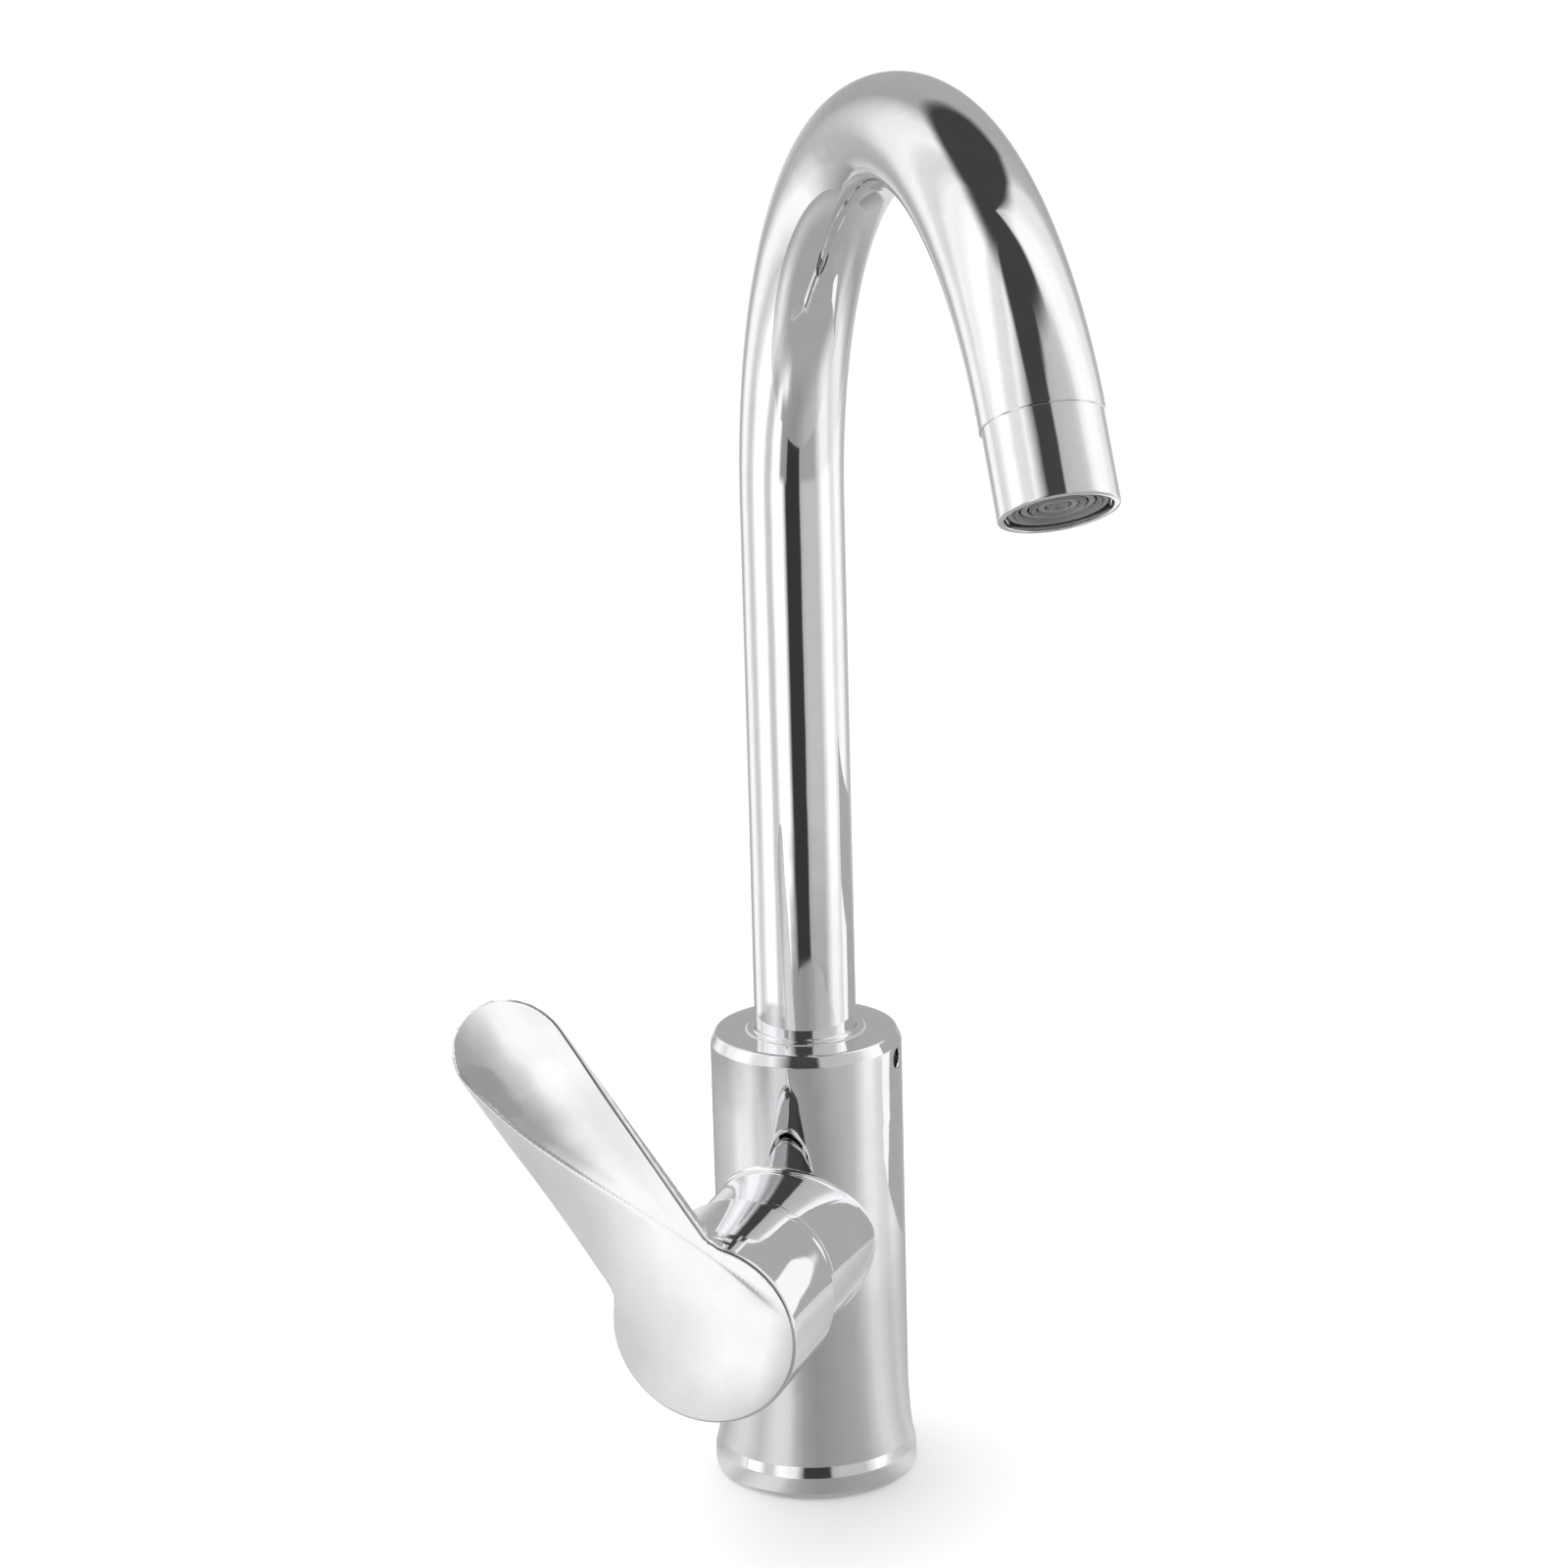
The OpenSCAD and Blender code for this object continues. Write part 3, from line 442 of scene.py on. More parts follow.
bore([(cartridge_r, seat), (cartridge_r, nut_seat), (nut_thread_r, nut_seat), (nut_thread_r, 50)],
     on_barrel(), 128)
bore([(5.5, 73.2), (5.5, socket_low), (spout_socket_r, socket_low), (spout_socket_r, glide_seat),
      (glide_seat_r, glide_seat), (glide_seat_r, 120)], segments=128)
for side in (-1, 1):
    hose = thread(4.5, 1.0, hose_deep, 1.0, 0.5)
    bore([(5.4, -5), (5.4, 0), *hose, (3.4, hose_deep), (3.4, 62.2)],
         Matrix.Translation((side * hose_x * mm, 0, 0)))
    x, y, r = inlet_port
    bore([(r, 0), (r, seat + 1)], on_barrel() @ Matrix.Translation((side * x * mm, y * mm, 0)))
    x, y, r = peg_hole
    bore([(r, seat - peg_deep), (r, seat + 1)],
         on_barrel() @ Matrix.Translation((side * x * mm, y * mm, 0)), 32)
y, r = outlet_port
bore([(r, 0), (r, seat + 1)], on_barrel() @ Matrix.Translation((0, y * mm, 0)))
bore([(4.2, -5), (4.2, 0), *thread(3.4, 0.8, 16.0, 1.25, 0.6)],
     Matrix.Translation((0, stud_y * mm, 0)))
bore([(lock_screw_r, 12), (lock_screw_r, 23.1), (2.8, 23.4), (2.8, 27)],
     Matrix.Translation((0, 0, lock_z * mm)) @ Matrix.Rotation(math.radians(90), 4, "Y"), 48, chrome)
groove = turned("groove", [(19.85, -2), (22.45, -2), (22.45, 2.4), (19.85, 2.4)])
groove.data.materials.append(bare_brass)
cut(body_casting, groove)
shaded(body_casting, 22)
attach(body_casting, "body")
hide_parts("tap_body")


# Rubber parts: the seal under the base and the sealing rings inside, moulded in black rubber with a
# dull skin and a trace of mould powder.
def rubber(name, light):
    """Black rubber with fine grain, pits and a dusting of powder."""
    material, tree, shader, where = new_material(name)
    grains = node(tree, "ShaderNodeGroup", {"node_tree": grain}, Vector=where,
                  Grain_Scale=2400.0, Cloud_Scale=320.0)
    shader.inputs["Sheen Weight"].default_value = 0.15
    tree.links.new(mixed(tree, ranged(tree, grains.outputs["Cloud"], 0.0, 1.0, 0.4, 0.75),
                         (0.012, 0.012, 0.013), light), shader.inputs["Base Color"])
    tree.links.new(ranged(tree, grains.outputs["Grain"], 0.5, 0.75, 0.3, 0.7),
                   shader.inputs["Roughness"])
    uneven(tree, shader, grains.outputs["Pit"], 0.3, 0.00003)
    return material


def finished(material, *names):
    """Gives pieces that come from the frame their finish."""
    for name in names:
        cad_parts[name].material_slots[0].material = material


black_rubber = rubber("black_rubber", (0.05, 0.05, 0.052))
finished(black_rubber, "base_seal", "port_seals", "disc_seals", "slider_seal", "collar_seal",
         "spout_seals", "aerator_washer")


# Screws and pin: turned steel, the screws blackened, with sockets for a hexagon key.
steel = machined("turned_steel", (0.42, 0.42, 0.43), (0.6, 0.6, 0.61), 0.26, 2600.0)
dark_steel = machined("blackened_steel", (0.09, 0.09, 0.095), (0.17, 0.17, 0.18), 0.4, 2600.0, "X")
finished(dark_steel, "spout_lock_screw", "lever_screw")
finished(steel, "stem_pin")


# Plastic parts of the cartridge and of the spout's bearing: acetal and nylon mouldings, matt, with
# faint flow clouds.
def moulded(name, dark, light, roughness):
    """Moulded plastic with flow clouds, eroded grain and fine pits."""
    material, tree, shader, where = new_material(name)
    grains = node(tree, "ShaderNodeGroup", {"node_tree": grain}, Vector=where,
                  Grain_Scale=1600.0, Cloud_Scale=90.0)
    shader.inputs["Subsurface Weight"].default_value = 0.08
    shader.inputs["Subsurface Scale"].default_value = 0.001
    tree.links.new(mixed(tree, ranged(tree, grains.outputs["Cloud"], 0.0, 1.0, 0.35, 0.7),
                         dark, light), shader.inputs["Base Color"])
    tree.links.new(ranged(tree, grains.outputs["Grain"], roughness - 0.08, roughness + 0.1,
                          0.3, 0.7), shader.inputs["Roughness"])
    uneven(tree, shader, grains.outputs["Grain"], 0.2, 0.00003)
    return material


ivory_plastic = moulded("ivory_plastic", (0.68, 0.62, 0.46), (0.78, 0.73, 0.58), 0.42)
white_plastic = moulded("white_plastic", (0.74, 0.74, 0.72), (0.84, 0.84, 0.82), 0.38)
finished(ivory_plastic, "cartridge_base", "cartridge_housing", "disc_slider", "aerator_jet_plate")
finished(white_plastic, "turning_collar", "spout_glide_ring", "spout_lower_bush")


# Ceramic discs: pressed and sintered alumina, lapped until they are nearly optical.
def lapped_ceramic():
    """White alumina with a lapped gloss, faint lapping haze and pores."""
    material, tree, shader, where = new_material("lapped_ceramic")
    grains = node(tree, "ShaderNodeGroup", {"node_tree": grain}, Vector=where,
                  Grain_Scale=3000.0, Cloud_Scale=60.0)
    shader.inputs["Coat Weight"].default_value = 0.4
    tree.links.new(mixed(tree, grains.outputs["Pit"], (0.86, 0.85, 0.82), (0.6, 0.59, 0.57)),
                   shader.inputs["Base Color"])
    tree.links.new(ranged(tree, grains.outputs["Cloud"], 0.08, 0.18, 0.3, 0.7),
                   shader.inputs["Roughness"])
    uneven(tree, shader, grains.outputs["Grain"], 0.1, 0.00001)
    return material


finished(lapped_ceramic(), "fixed_disc", "moving_disc")


# Brass parts inside: the nut over the cartridge, the stem and the threaded end of the spout, all
# turned from bar and left bare.
bar_brass = machined("turned_brass", (0.6, 0.42, 0.16), (0.8, 0.6, 0.28), 0.24, 2000.0, "Y")
finished(bar_brass, "cartridge_nut", "cartridge_stem", "outlet_adapter")


# Domed cover. A chrome-plated pressing over the nut, ball-shaped round the pin so that the lever's
# hub can rock over it, with an open middle for the cartridge's neck.
pivot = 44.03
dome_hole = 12.8
dome_wall = 1.4
dome_end = math.acos(dome_hole / barrel_r)
dome_in = barrel_r - dome_wall
dome_in_end = math.acos(dome_hole / dome_in)
dome_profile = [(17.5, 42.23), (18.7, 42.23), (18.7, 43.05), (20.45, 43.05), (barrel_r, 43.2)]
dome_profile += [(barrel_r * math.cos(a), pivot + barrel_r * math.sin(a))
                 for a in np.linspace(0, dome_end, 28)]
dome_profile += [(dome_in * math.cos(a), pivot + dome_in * math.sin(a))
                 for a in np.linspace(dome_in_end, 0, 20)]
dome_profile += [(17.5, pivot)]
dome_shell = turned("dome_shell", dome_profile)
placed(dome_shell, on_barrel())
dome_shell.data.materials.append(chrome)
shaded(dome_shell)
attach(dome_shell, "body")
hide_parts("dome_cover")


# Lever. One zinc casting, polished and chrome plated: a cup-shaped hub over the dome, a crowned face
# that runs on into the leaning blade, and a thumb scoop with a soft crease along its left side.
lever_turn = 31
hub_r = 22.5
hub_rear = 48.53
hub_front = 77.53
hub_crown = 1.0
crown_r = 250.0
cavity_r = 21.2
cavity_top = 66.03
blade_len = 93.0
blade_r = 14.3
blade_t = 3.6
blade_root = 8.0
blade_lean = math.radians(10)
lean = math.tan(blade_lean)
stem_lean = math.radians(12.5)
socket_end = 74.93
socket_half = 4.43
screw_at = 70.48
screw_hole_r = 2.53
plug_hole_r = 3.23
plug_hole_end = 18.5
rim_r = 0.8
blade_edge_r = 1.1
neck_r = 2.4


def round_max(a, b, r):
    """Where two solids meet in an outer edge of radius r."""
    u = np.maximum(r + a, 0)
    v = np.maximum(r + b, 0)
    return np.minimum(np.maximum(a, b), -r) + np.hypot(u, v)


def round_min(a, b, r):
    """Where two solids are joined by a fillet of radius r."""
    u = np.maximum(r - a, 0)
    v = np.maximum(r - b, 0)
    return np.maximum(np.minimum(a, b), r) - np.hypot(u, v)


def soft_above(a, b, width):
    """The higher of two values, with a soft change-over."""
    return (a + b + np.sqrt((a - b) ** 2 + width ** 2)) / 2


def eased(value, low, high):
    """Runs smoothly from 0 at low to 1 at high."""
    t = np.clip((value - low) / (high - low), 0, 1)
    return t * t * (3 - 2 * t)


crease_points = [
    (90, -14.6), (85, -14.4), (80, -13.9), (77, -13.2), (70, -11.7), (63.8, -10.1), (56, -7.3),
    (49.2, -4.2), (42.5, -0.8), (36, 2.4), (27, 6.4), (21.3, 9.0), (17.2, 11.0), (12.3, 13.2),
    (5.8, 15.8), (-0.7, 18.0), (-8.5, 20.2), (-14, 21.6)]
crease_line = np.polynomial.Polynomial.fit(*zip(*crease_points), 6)
trough = 9.5


def front_height(x, y):
    """Height of the lever's front face over its frame."""
    root = blade_root + hub_crown / lean
    plane = hub_front + hub_crown + lean * soft_above(y - root, 0, 10.0)
    out = eased(y, 8, 55)
    flat = 1 / (crown_r - 100 * out)
    rise = 1.5 * eased(y, 30, 70)

    def convex(across):
        return rise - flat * ((across - 10 * out) ** 2) / 2

    crease = crease_line(-soft_above(-soft_above(y, -14, 2.0), -90, 4.0))
    past = x - crease
    wide = np.maximum(trough - crease, 3.5)
    steep = 0.15 + 0.035 * eased(y, 50, 75)
    even = np.minimum(4.0, 0.4 * wide)
    dip = steep / (2 * wide) * (
        np.maximum(wide - np.maximum(past, even), 0) ** 2 - np.maximum(wide - even, 0) ** 2)
    dip -= steep * np.maximum(1 - even / wide, 0) * np.minimum(past, even)
    step = (0.05 + 0.03 * eased(y, 46, 72)) * eased(past, 0, 1.2)
    drop = convex(x) - convex(crease) - dip + step
    soft = 0.12
    near = np.maximum(soft - np.abs(drop), 0) / soft
    drop = np.maximum(drop, 0) + near ** 2 * soft / 4
    return plane + convex(x) - flat * np.minimum(y, 0) ** 2 / 2 - eased(y, -10, 10) * drop


def lever_form(p):
    """Distance in mm from the lever's skin, less than 0 inside, p in the lever's frame."""
    x, y, z = p[:, 0], p[:, 1], p[:, 2]
    front = front_height(x, y)
    across = np.hypot(x, y) - hub_r
    along = np.hypot(x, y - np.clip(y, 0, blade_len - blade_r)) - blade_r
    back = hub_front + lean * (y - blade_root) - blade_t
    hub = round_max(across, hub_rear - z, rim_r)
    blade = round_max(along, (back - z) * 0.985, blade_edge_r)
    form = round_max(round_min(hub, blade, neck_r), (z - front) * 0.98, rim_r)
    form = round_max(form, -np.maximum(np.hypot(x, y) - cavity_r, z - cavity_top), 0.35)
    to_screw = np.hypot(x, z - screw_at)
    hole = np.minimum(np.maximum(to_screw - screw_hole_r, y - 1.5),
                      np.maximum(to_screw - plug_hole_r, y + plug_hole_end))
    up = z - pivot
    stem_y = np.abs(math.cos(stem_lean) * y - math.sin(stem_lean) * up)
    stem_z = math.sin(stem_lean) * y + math.cos(stem_lean) * up
    square = np.maximum(np.maximum(np.abs(x), stem_y) - socket_half,
                        stem_z - (socket_end - pivot) * math.cos(stem_lean))
    return np.maximum(form, -np.minimum(hole, square))


def slope(form, p, step=0.01):
    """Direction in which the distance grows fastest."""
    grown = [form(p + step * e) - form(p - step * e) for e in np.eye(3)]
    return np.stack(grown, 1) / (2 * step)


# The rough lever: a cylinder for the hub, a stretched disc for the blade, joined and hollowed, then
# given an even skin, which settles on the true form.
rough_h = 30.9
bpy.ops.mesh.primitive_cylinder_add(vertices=128, radius=hub_r * mm, depth=rough_h * mm,
                                    location=(0, 0, (hub_rear + rough_h / 2) * mm))
lever_casting = bpy.context.object
lever_casting.name = "lever_casting"
bpy.ops.object.transform_apply(location=True)
bpy.ops.mesh.primitive_circle_add(vertices=96, radius=blade_r * mm, fill_type="NGON",
                                  location=(0, (blade_len - blade_r - blade_root) * mm,
                                            -blade_t * mm))
blade = bpy.context.object
bpy.ops.object.mode_set(mode="EDIT")
bpy.ops.mesh.select_all(action="SELECT")
bpy.ops.mesh.extrude_region_move(TRANSFORM_OT_translate={"value": (0, 0, blade_t * mm)})
bpy.ops.object.mode_set(mode="OBJECT")
chosen(blade, "VERT", lambda v: v.co.y < -1e-6)
bpy.ops.transform.translate(value=(0, -(blade_len - blade_r - blade_root) * mm, 0))
bpy.ops.mesh.select_all(action="SELECT")
bpy.ops.mesh.normals_make_consistent(inside=False)
bpy.ops.object.mode_set(mode="OBJECT")
bpy.ops.object.transform_apply(location=True)
placed(blade, Matrix.Translation((0, blade_root * mm, hub_front * mm))
       @ Matrix.Rotation(blade_lean, 4, "X"))
cut(lever_casting, blade, "UNION")
bpy.ops.mesh.primitive_cylinder_add(vertices=128, radius=cavity_r * mm, depth=20 * mm,
                                    location=(0, 0, (cavity_top - 10) * mm))
bpy.ops.object.transform_apply(location=True)
cut(lever_casting, bpy.context.object)
bpy.ops.mesh.primitive_cube_add(size=2 * socket_half * mm)
socket = bpy.context.object
stretch = 3.4
placed(socket, Matrix.Scale(stretch, 4, (0, 0, 1)))
placed(socket, Matrix.Translation((0, 0, pivot * mm)) @ Matrix.Rotation(-stem_lean, 4, "X")
       @ Matrix.Translation((0, 0, (30.17 - stretch * socket_half) * mm)))
cut(lever_casting, socket)
bpy.ops.mesh.primitive_cylinder_add(vertices=64, radius=screw_hole_r * mm, depth=24 * mm,
                                    location=(0, -10.5 * mm, screw_at * mm),
                                    rotation=(math.radians(90), 0, 0))
bpy.ops.object.transform_apply(location=True, rotation=True)
cut(lever_casting, bpy.context.object)
modified(lever_casting, "REMESH", mode="VOXEL", voxel_size=0.5 * mm, adaptivity=0)
count = len(lever_casting.data.vertices)
points = np.zeros(count * 3)
lever_casting.data.vertices.foreach_get("co", points)
points = points.reshape(-1, 3) / mm
settling_rounds = 8
for i in range(settling_rounds):
    away = lever_form(points)
    grows = slope(lever_form, points)
    steep = np.maximum((grows ** 2).sum(1), 0.2)
    points -= np.clip(away / steep, -0.8, 0.8)[:, None] * grows
lever_casting.data.vertices.foreach_set("co", (points * mm).ravel())
lever_casting.data.update()
normals = slope(lever_form, points)
normals /= np.linalg.norm(normals, axis=1)[:, None]
place = on_barrel(lever_turn)
placed(lever_casting, place)
bpy.ops.object.shade_smooth()
turned_normals = normals @ np.array(place.to_3x3()).T
lever_casting.data.normals_split_custom_set_from_vertices(turned_normals.tolist())
lever_chrome = chrome_plate("lever_chrome", 60.0, 0.0012)
lever_casting.data.materials.clear()
lever_casting.data.materials.append(lever_chrome)
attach(lever_casting, "lever")
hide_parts("lever_handle")
plug_plastic = moulded("plug_plastic", (0.34, 0.34, 0.345), (0.44, 0.44, 0.445), 0.34)
finished(plug_plastic, "screw_plug")


# Foot of the spout. Turned brass, chrome plated: the flat flange and bead that show on top of the
# body, and below them the shank with two ring seats and the groove for the locking screw.
foot_r = 13.95
foot_bore = 8.5
foot_low = 85.6
foot_top = 129.9
bush_seat = 91.6
bush_seat_r = 12.55
grooves = ((95.9, 98.1, 11.75), (100.9, 103.1, 11.75), (107, 111, 12.05))
flange_low = 115.1
flange_top = 115.3
flange_r = 14.5
bead_at = 12.85
tube_r = 12.5
tube_low = 117.9
spigot_r = 11.37
foot_profile = [
    (foot_bore, foot_low), (bush_seat_r, foot_low), (bush_seat_r, bush_seat), (foot_r, bush_seat)]
for low, high, groove_r in grooves:
    foot_profile += [(foot_r, low), (groove_r, low), (groove_r, high), (foot_r, high)]
foot_profile += [
    (foot_r, flange_low), (flange_r, flange_low), (flange_r, flange_top - 0.05),
    (flange_r - 0.05, flange_top), (13.2, flange_top)]
foot_profile += [(bead_at + 0.35 * math.cos(a), flange_top + 0.1 + 0.4 * math.sin(a))
                 for a in np.linspace(0, math.pi * 0.9, 9)]
foot_profile += [
    (tube_r - 0.02, flange_top + 0.15), (tube_r - 0.02, tube_low), (spigot_r, tube_low),
    (spigot_r, foot_top), (foot_bore, foot_top)]
spout_turning = turned("spout_turning", foot_profile)
spout_turning.data.materials.append(chrome)
shaded(spout_turning)
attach(spout_turning, "spout")
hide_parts("spout_foot")


# Spout tube. Drawn brass tube bent on a mandrel, polished along its length and chrome plated; it is
# brazed over the foot and ends square at the outlet.
spout_turn = Matrix.Rotation(math.radians(-55), 4, "Z")
bend_z = 246.5
bend_r = 94.8
bend_turn = math.radians(151)
tube_wall = 1.1
bpy.ops.mesh.primitive_circle_add(vertices=160, radius=tube_r * mm, location=(0, 0, tube_low * mm))
spout_tube = bpy.context.object
spout_tube.name = "spout_pipe"
bpy.ops.object.mode_set(mode="EDIT")
riser_cuts = 32
for i in range(riser_cuts):
    bpy.ops.mesh.extrude_region_move(
        TRANSFORM_OT_translate={"value": (0, 0, (bend_z - tube_low) / riser_cuts * mm)})
bpy.ops.mesh.spin(steps=120, angle=-bend_turn, center=(bend_r * mm, 0, bend_z * mm), axis=(0, 1, 0))
bpy.ops.mesh.select_all(action="SELECT")
bpy.ops.mesh.remove_doubles(threshold=1e-7)
bpy.ops.mesh.normals_make_consistent(inside=False)
bpy.ops.object.mode_set(mode="OBJECT")
bpy.ops.object.transform_apply(location=True)
placed(spout_tube, spout_turn)
modified(spout_tube, "SOLIDIFY", thickness=tube_wall * mm, offset=-1)
tube_chrome = chrome_plate("tube_chrome", 70.0, 0.0009)
spout_tube.data.materials.append(tube_chrome)
shaded(spout_tube)
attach(spout_tube, "spout")
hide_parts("spout_tube")


# Outlet sleeve. A turned brass sleeve screwed over the end of the tube, with a bright rim that holds
# the aerator.
at_outlet = (spout_turn
             @ Matrix.Translation(Vector((bend_r * (1 - math.cos(bend_turn)), 0,
                                          bend_z + bend_r * math.sin(bend_turn))) * mm)
             @ Matrix.Rotation(bend_turn, 4, "Y"))
sleeve_r = 12.1
sleeve_len = 18.6
nose_r = 10.9
insert_r = 10.7
sleeve_profile = [
    (nose_r + 0.03, 0.02), (sleeve_r - 0.15, 0.02), (sleeve_r, 0.25),
    (sleeve_r, sleeve_len - 0.4), (sleeve_r - 0.12, sleeve_len - 0.12),
    (sleeve_r - 0.4, sleeve_len), (insert_r + 0.15, sleeve_len), (insert_r, sleeve_len - 0.15),
    (insert_r, 15.6), (10.1, 15.0), (10.1, 14.2), (insert_r + 0.03, 13.6), (insert_r + 0.03, 7.3),
    (nose_r + 0.03, 7.3)]
sleeve = turned("outlet_sleeve_shell", sleeve_profile)
placed(sleeve, at_outlet)
sleeve.data.materials.append(chrome)
shaded(sleeve)
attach(sleeve, "spout")
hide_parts("outlet_sleeve")


# Aerator. A grey plastic cup behind the rim, its grille of five rings on two crossed bars, over two
# woven wire screens that show as a fine mesh between the rings.
insert_top = 17.6
cup_r = 9.9
hole_r = 8.9
grille_low = insert_top - 1.6
gray_plastic = moulded("gray_plastic", (0.14, 0.14, 0.143), (0.2, 0.2, 0.205), 0.42)
cup_profile = [
    (9.7, 9.1), (10.67, 9.1), (10.67, 13.1), (cup_r, 13.1), (cup_r, insert_top - 0.2),
    (cup_r - 0.2, insert_top), (hole_r + 0.25, insert_top), (hole_r, insert_top - 0.3),
    (hole_r, 12.5), (9.7, 12.5)]
aerator = turned("aerator_cup", cup_profile, segments=128)
ring_count = 5
first_ring_r = 1.6
ring_pitch = 1.68
ring_half = 0.6
chamfer = 0.1
land = insert_top - 0.45
ridge_foot = 0.32
ridge_top = 0.12
for i in range(ring_count):
    ring_r = first_ring_r + ring_pitch * i
    ring_profile = [(ring_r - ring_half, grille_low), (ring_r + ring_half, grille_low),
                    (ring_r + ring_half, land - chamfer), (ring_r + ring_half - chamfer, land)]
    if i % 2 == 0:
        ring_profile += [(ring_r + ridge_foot, land), (ring_r + ridge_top, insert_top),
                         (ring_r - ridge_top, insert_top), (ring_r - ridge_foot, land)]
    ring_profile += [(ring_r - ring_half + chamfer, land), (ring_r - ring_half, land - chamfer)]
    cut(aerator, turned("grille_ring", ring_profile, segments=96), "UNION")
bar_w = 0.7
for turn in (0, 90):
    bpy.ops.mesh.primitive_cube_add(size=1)
    bar = placed(bpy.context.object,
                 Matrix.Translation((0, 0, (grille_low + 0.4) * mm))
                 @ Matrix.Rotation(math.radians(turn), 4, "Z")
                 @ Matrix.Diagonal((2 * (hole_r + 0.3) * mm, bar_w * mm, bar_w * mm, 1)))
    cut(aerator, bar, "UNION")
placed(aerator, at_outlet)
aerator.data.materials.clear()
aerator.data.materials.append(gray_plastic)
shaded(aerator)
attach(aerator, "spout")
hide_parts("aerator_insert")


def woven_wire():
    """Fine steel wire woven over and under, with painted shade in the gaps between the wires."""
    material, tree, shader, where = new_material("woven_wire")
    bands = []
    for direction in ("X", "Y"):
        wires = node(tree, "ShaderNodeTexWave", {"bands_direction": direction}, Vector=where,
                     Scale=640.0, Distortion=0.0)
        bands.append(wires.outputs["Fac"])
    weave = node(tree, "ShaderNodeMath", {"operation": "MAXIMUM"}, _0=bands[0], _1=bands[1])
    shader.inputs["Metallic"].default_value = 0.3
    # Painted shade: the base colour is darker where the weave is low, in the gaps between the wires.
    tree.links.new(mixed(tree, ranged(tree, weave.outputs[0], 0.0, 1.0, 0.35, 0.7),
                         (0.2, 0.2, 0.2), (0.55, 0.55, 0.56)), shader.inputs["Base Color"])
    tree.links.new(ranged(tree, weave.outputs[0], 0.6, 0.3), shader.inputs["Roughness"])
    uneven(tree, shader, weave.outputs[0], 0.6, 0.0001)
    return material


finished(woven_wire(), "aerator_screens")


# Studio. A plain white floor, soft light from above, and glowing panels that only the chrome sees:
# painted reflections of a tent of white panels and dark cloth and of the table, as in a photograph
# of polished ware.
def seen_by(thing, camera, diffuse, glossy, shadow):
    """Sets which rays see a stage object."""
    thing.visible_camera = camera
    thing.visible_diffuse = diffuse
    thing.visible_glossy = glossy
    thing.visible_shadow = shadow
    thing.visible_transmission = glossy


bpy.ops.mesh.primitive_plane_add(size=24)
floor = bpy.context.object
floor.name = "floor"
floor_paint, tree, shader, where = new_material("white_floor")
paper = node(tree, "ShaderNodeGroup", {"node_tree": grain}, Vector=where,
             Grain_Scale=700.0, Cloud_Scale=8.0)
shader.inputs["Roughness"].default_value = 0.8
shader.inputs["Specular IOR Level"].default_value = 0.2
tree.links.new(mixed(tree, paper.outputs["Cloud"], (0.93, 0.93, 0.93), (0.95, 0.95, 0.95)),
               shader.inputs["Base Color"])
floor.data.materials.append(floor_paint)
seen_by(floor, True, True, False, True)


def by_azimuth(tree, turn, levels):
    """A brightness that changes with the direction, given in degrees from the tap."""
    ramp = node(tree, "ShaderNodeValToRGB", Fac=turn)
    stops = ramp.color_ramp.elements
    for i, (degrees, level) in enumerate(levels):
        at = (degrees + 180) / 360
        last = i == len(levels) - 1
        stop = stops[0] if i == 0 else stops[len(stops) - 1] if last else stops.new(at)
        stop.position = at
        stop.color = (level, level, level, 1)
    return ramp.outputs["Color"]


def glow(name):
    """A glowing surface for painted reflections: its tree, light, object coordinates as axes, and
    the turn round the tap.
    """
    material = bpy.data.materials.new(name)
    material.use_nodes = True
    tree = material.node_tree
    tree.nodes.clear()
    output = tree.nodes.new("ShaderNodeOutputMaterial")
    light = tree.nodes.new("ShaderNodeEmission")
    tree.links.new(light.outputs[0], output.inputs[0])
    where = tree.nodes.new("ShaderNodeTexCoord").outputs["Object"]
    axes = node(tree, "ShaderNodeSeparateXYZ", Vector=where)
    angle = node(tree, "ShaderNodeMath", {"operation": "ARCTAN2"},
                 _0=axes.outputs["Y"], _1=axes.outputs["X"])
    return material, tree, light, axes, angle.outputs[0], where


def between(tree, factor, first, second):
    """Mixes two colours, each a socket or a brightness."""
    blend = node(tree, "ShaderNodeMix", {"data_type": "RGBA"}, Factor=factor)
    for slot, value in ((6, first), (7, second)):
        if isinstance(value, bpy.types.NodeSocket):
            tree.links.new(value, blend.inputs[slot])
        else:
            blend.inputs[slot].default_value = (value, value, value, 1)
    return blend.outputs[2]


def eased_node(tree, value, start, end):
    """Runs smoothly from 0 to 1 while the value goes from start to end."""
    return node(tree, "ShaderNodeMapRange", {"interpolation_type": "SMOOTHSTEP"},
                Value=value, From_Min=start, From_Max=end).outputs[0]


# What the chrome sees of the table: a glowing sheet that only reflections see, a painted reflection
# of white paper, with painted shade towards the camera, close to the tap and where it is looked at
# from above, and with a rounded edge. It has a brightness of its own close to the tap, near it and
# far from it, and each changes with the direction.
bpy.ops.mesh.primitive_circle_add(vertices=180, radius=1, fill_type="NGON", location=(0, 0, 0))
sheet = bpy.context.object
sheet.name = "table_sheet"
sheet_z = 0.0001
edge = [(-180, 0.385), (-118, 0.385), (-107, 0.42), (-101, 0.39), (-94, 0.41), (-80, 0.44),
        (-56, 0.455), (-35, 0.44), (-15, 0.4), (8, 0.36), (30, 0.35), (100, 0.36), (180, 0.385)]
for v in sheet.data.vertices:
    out = np.interp(math.degrees(math.atan2(v.co.y, v.co.x)), *zip(*edge))
    v.co = (v.co.x * out, v.co.y * out, sheet_z)
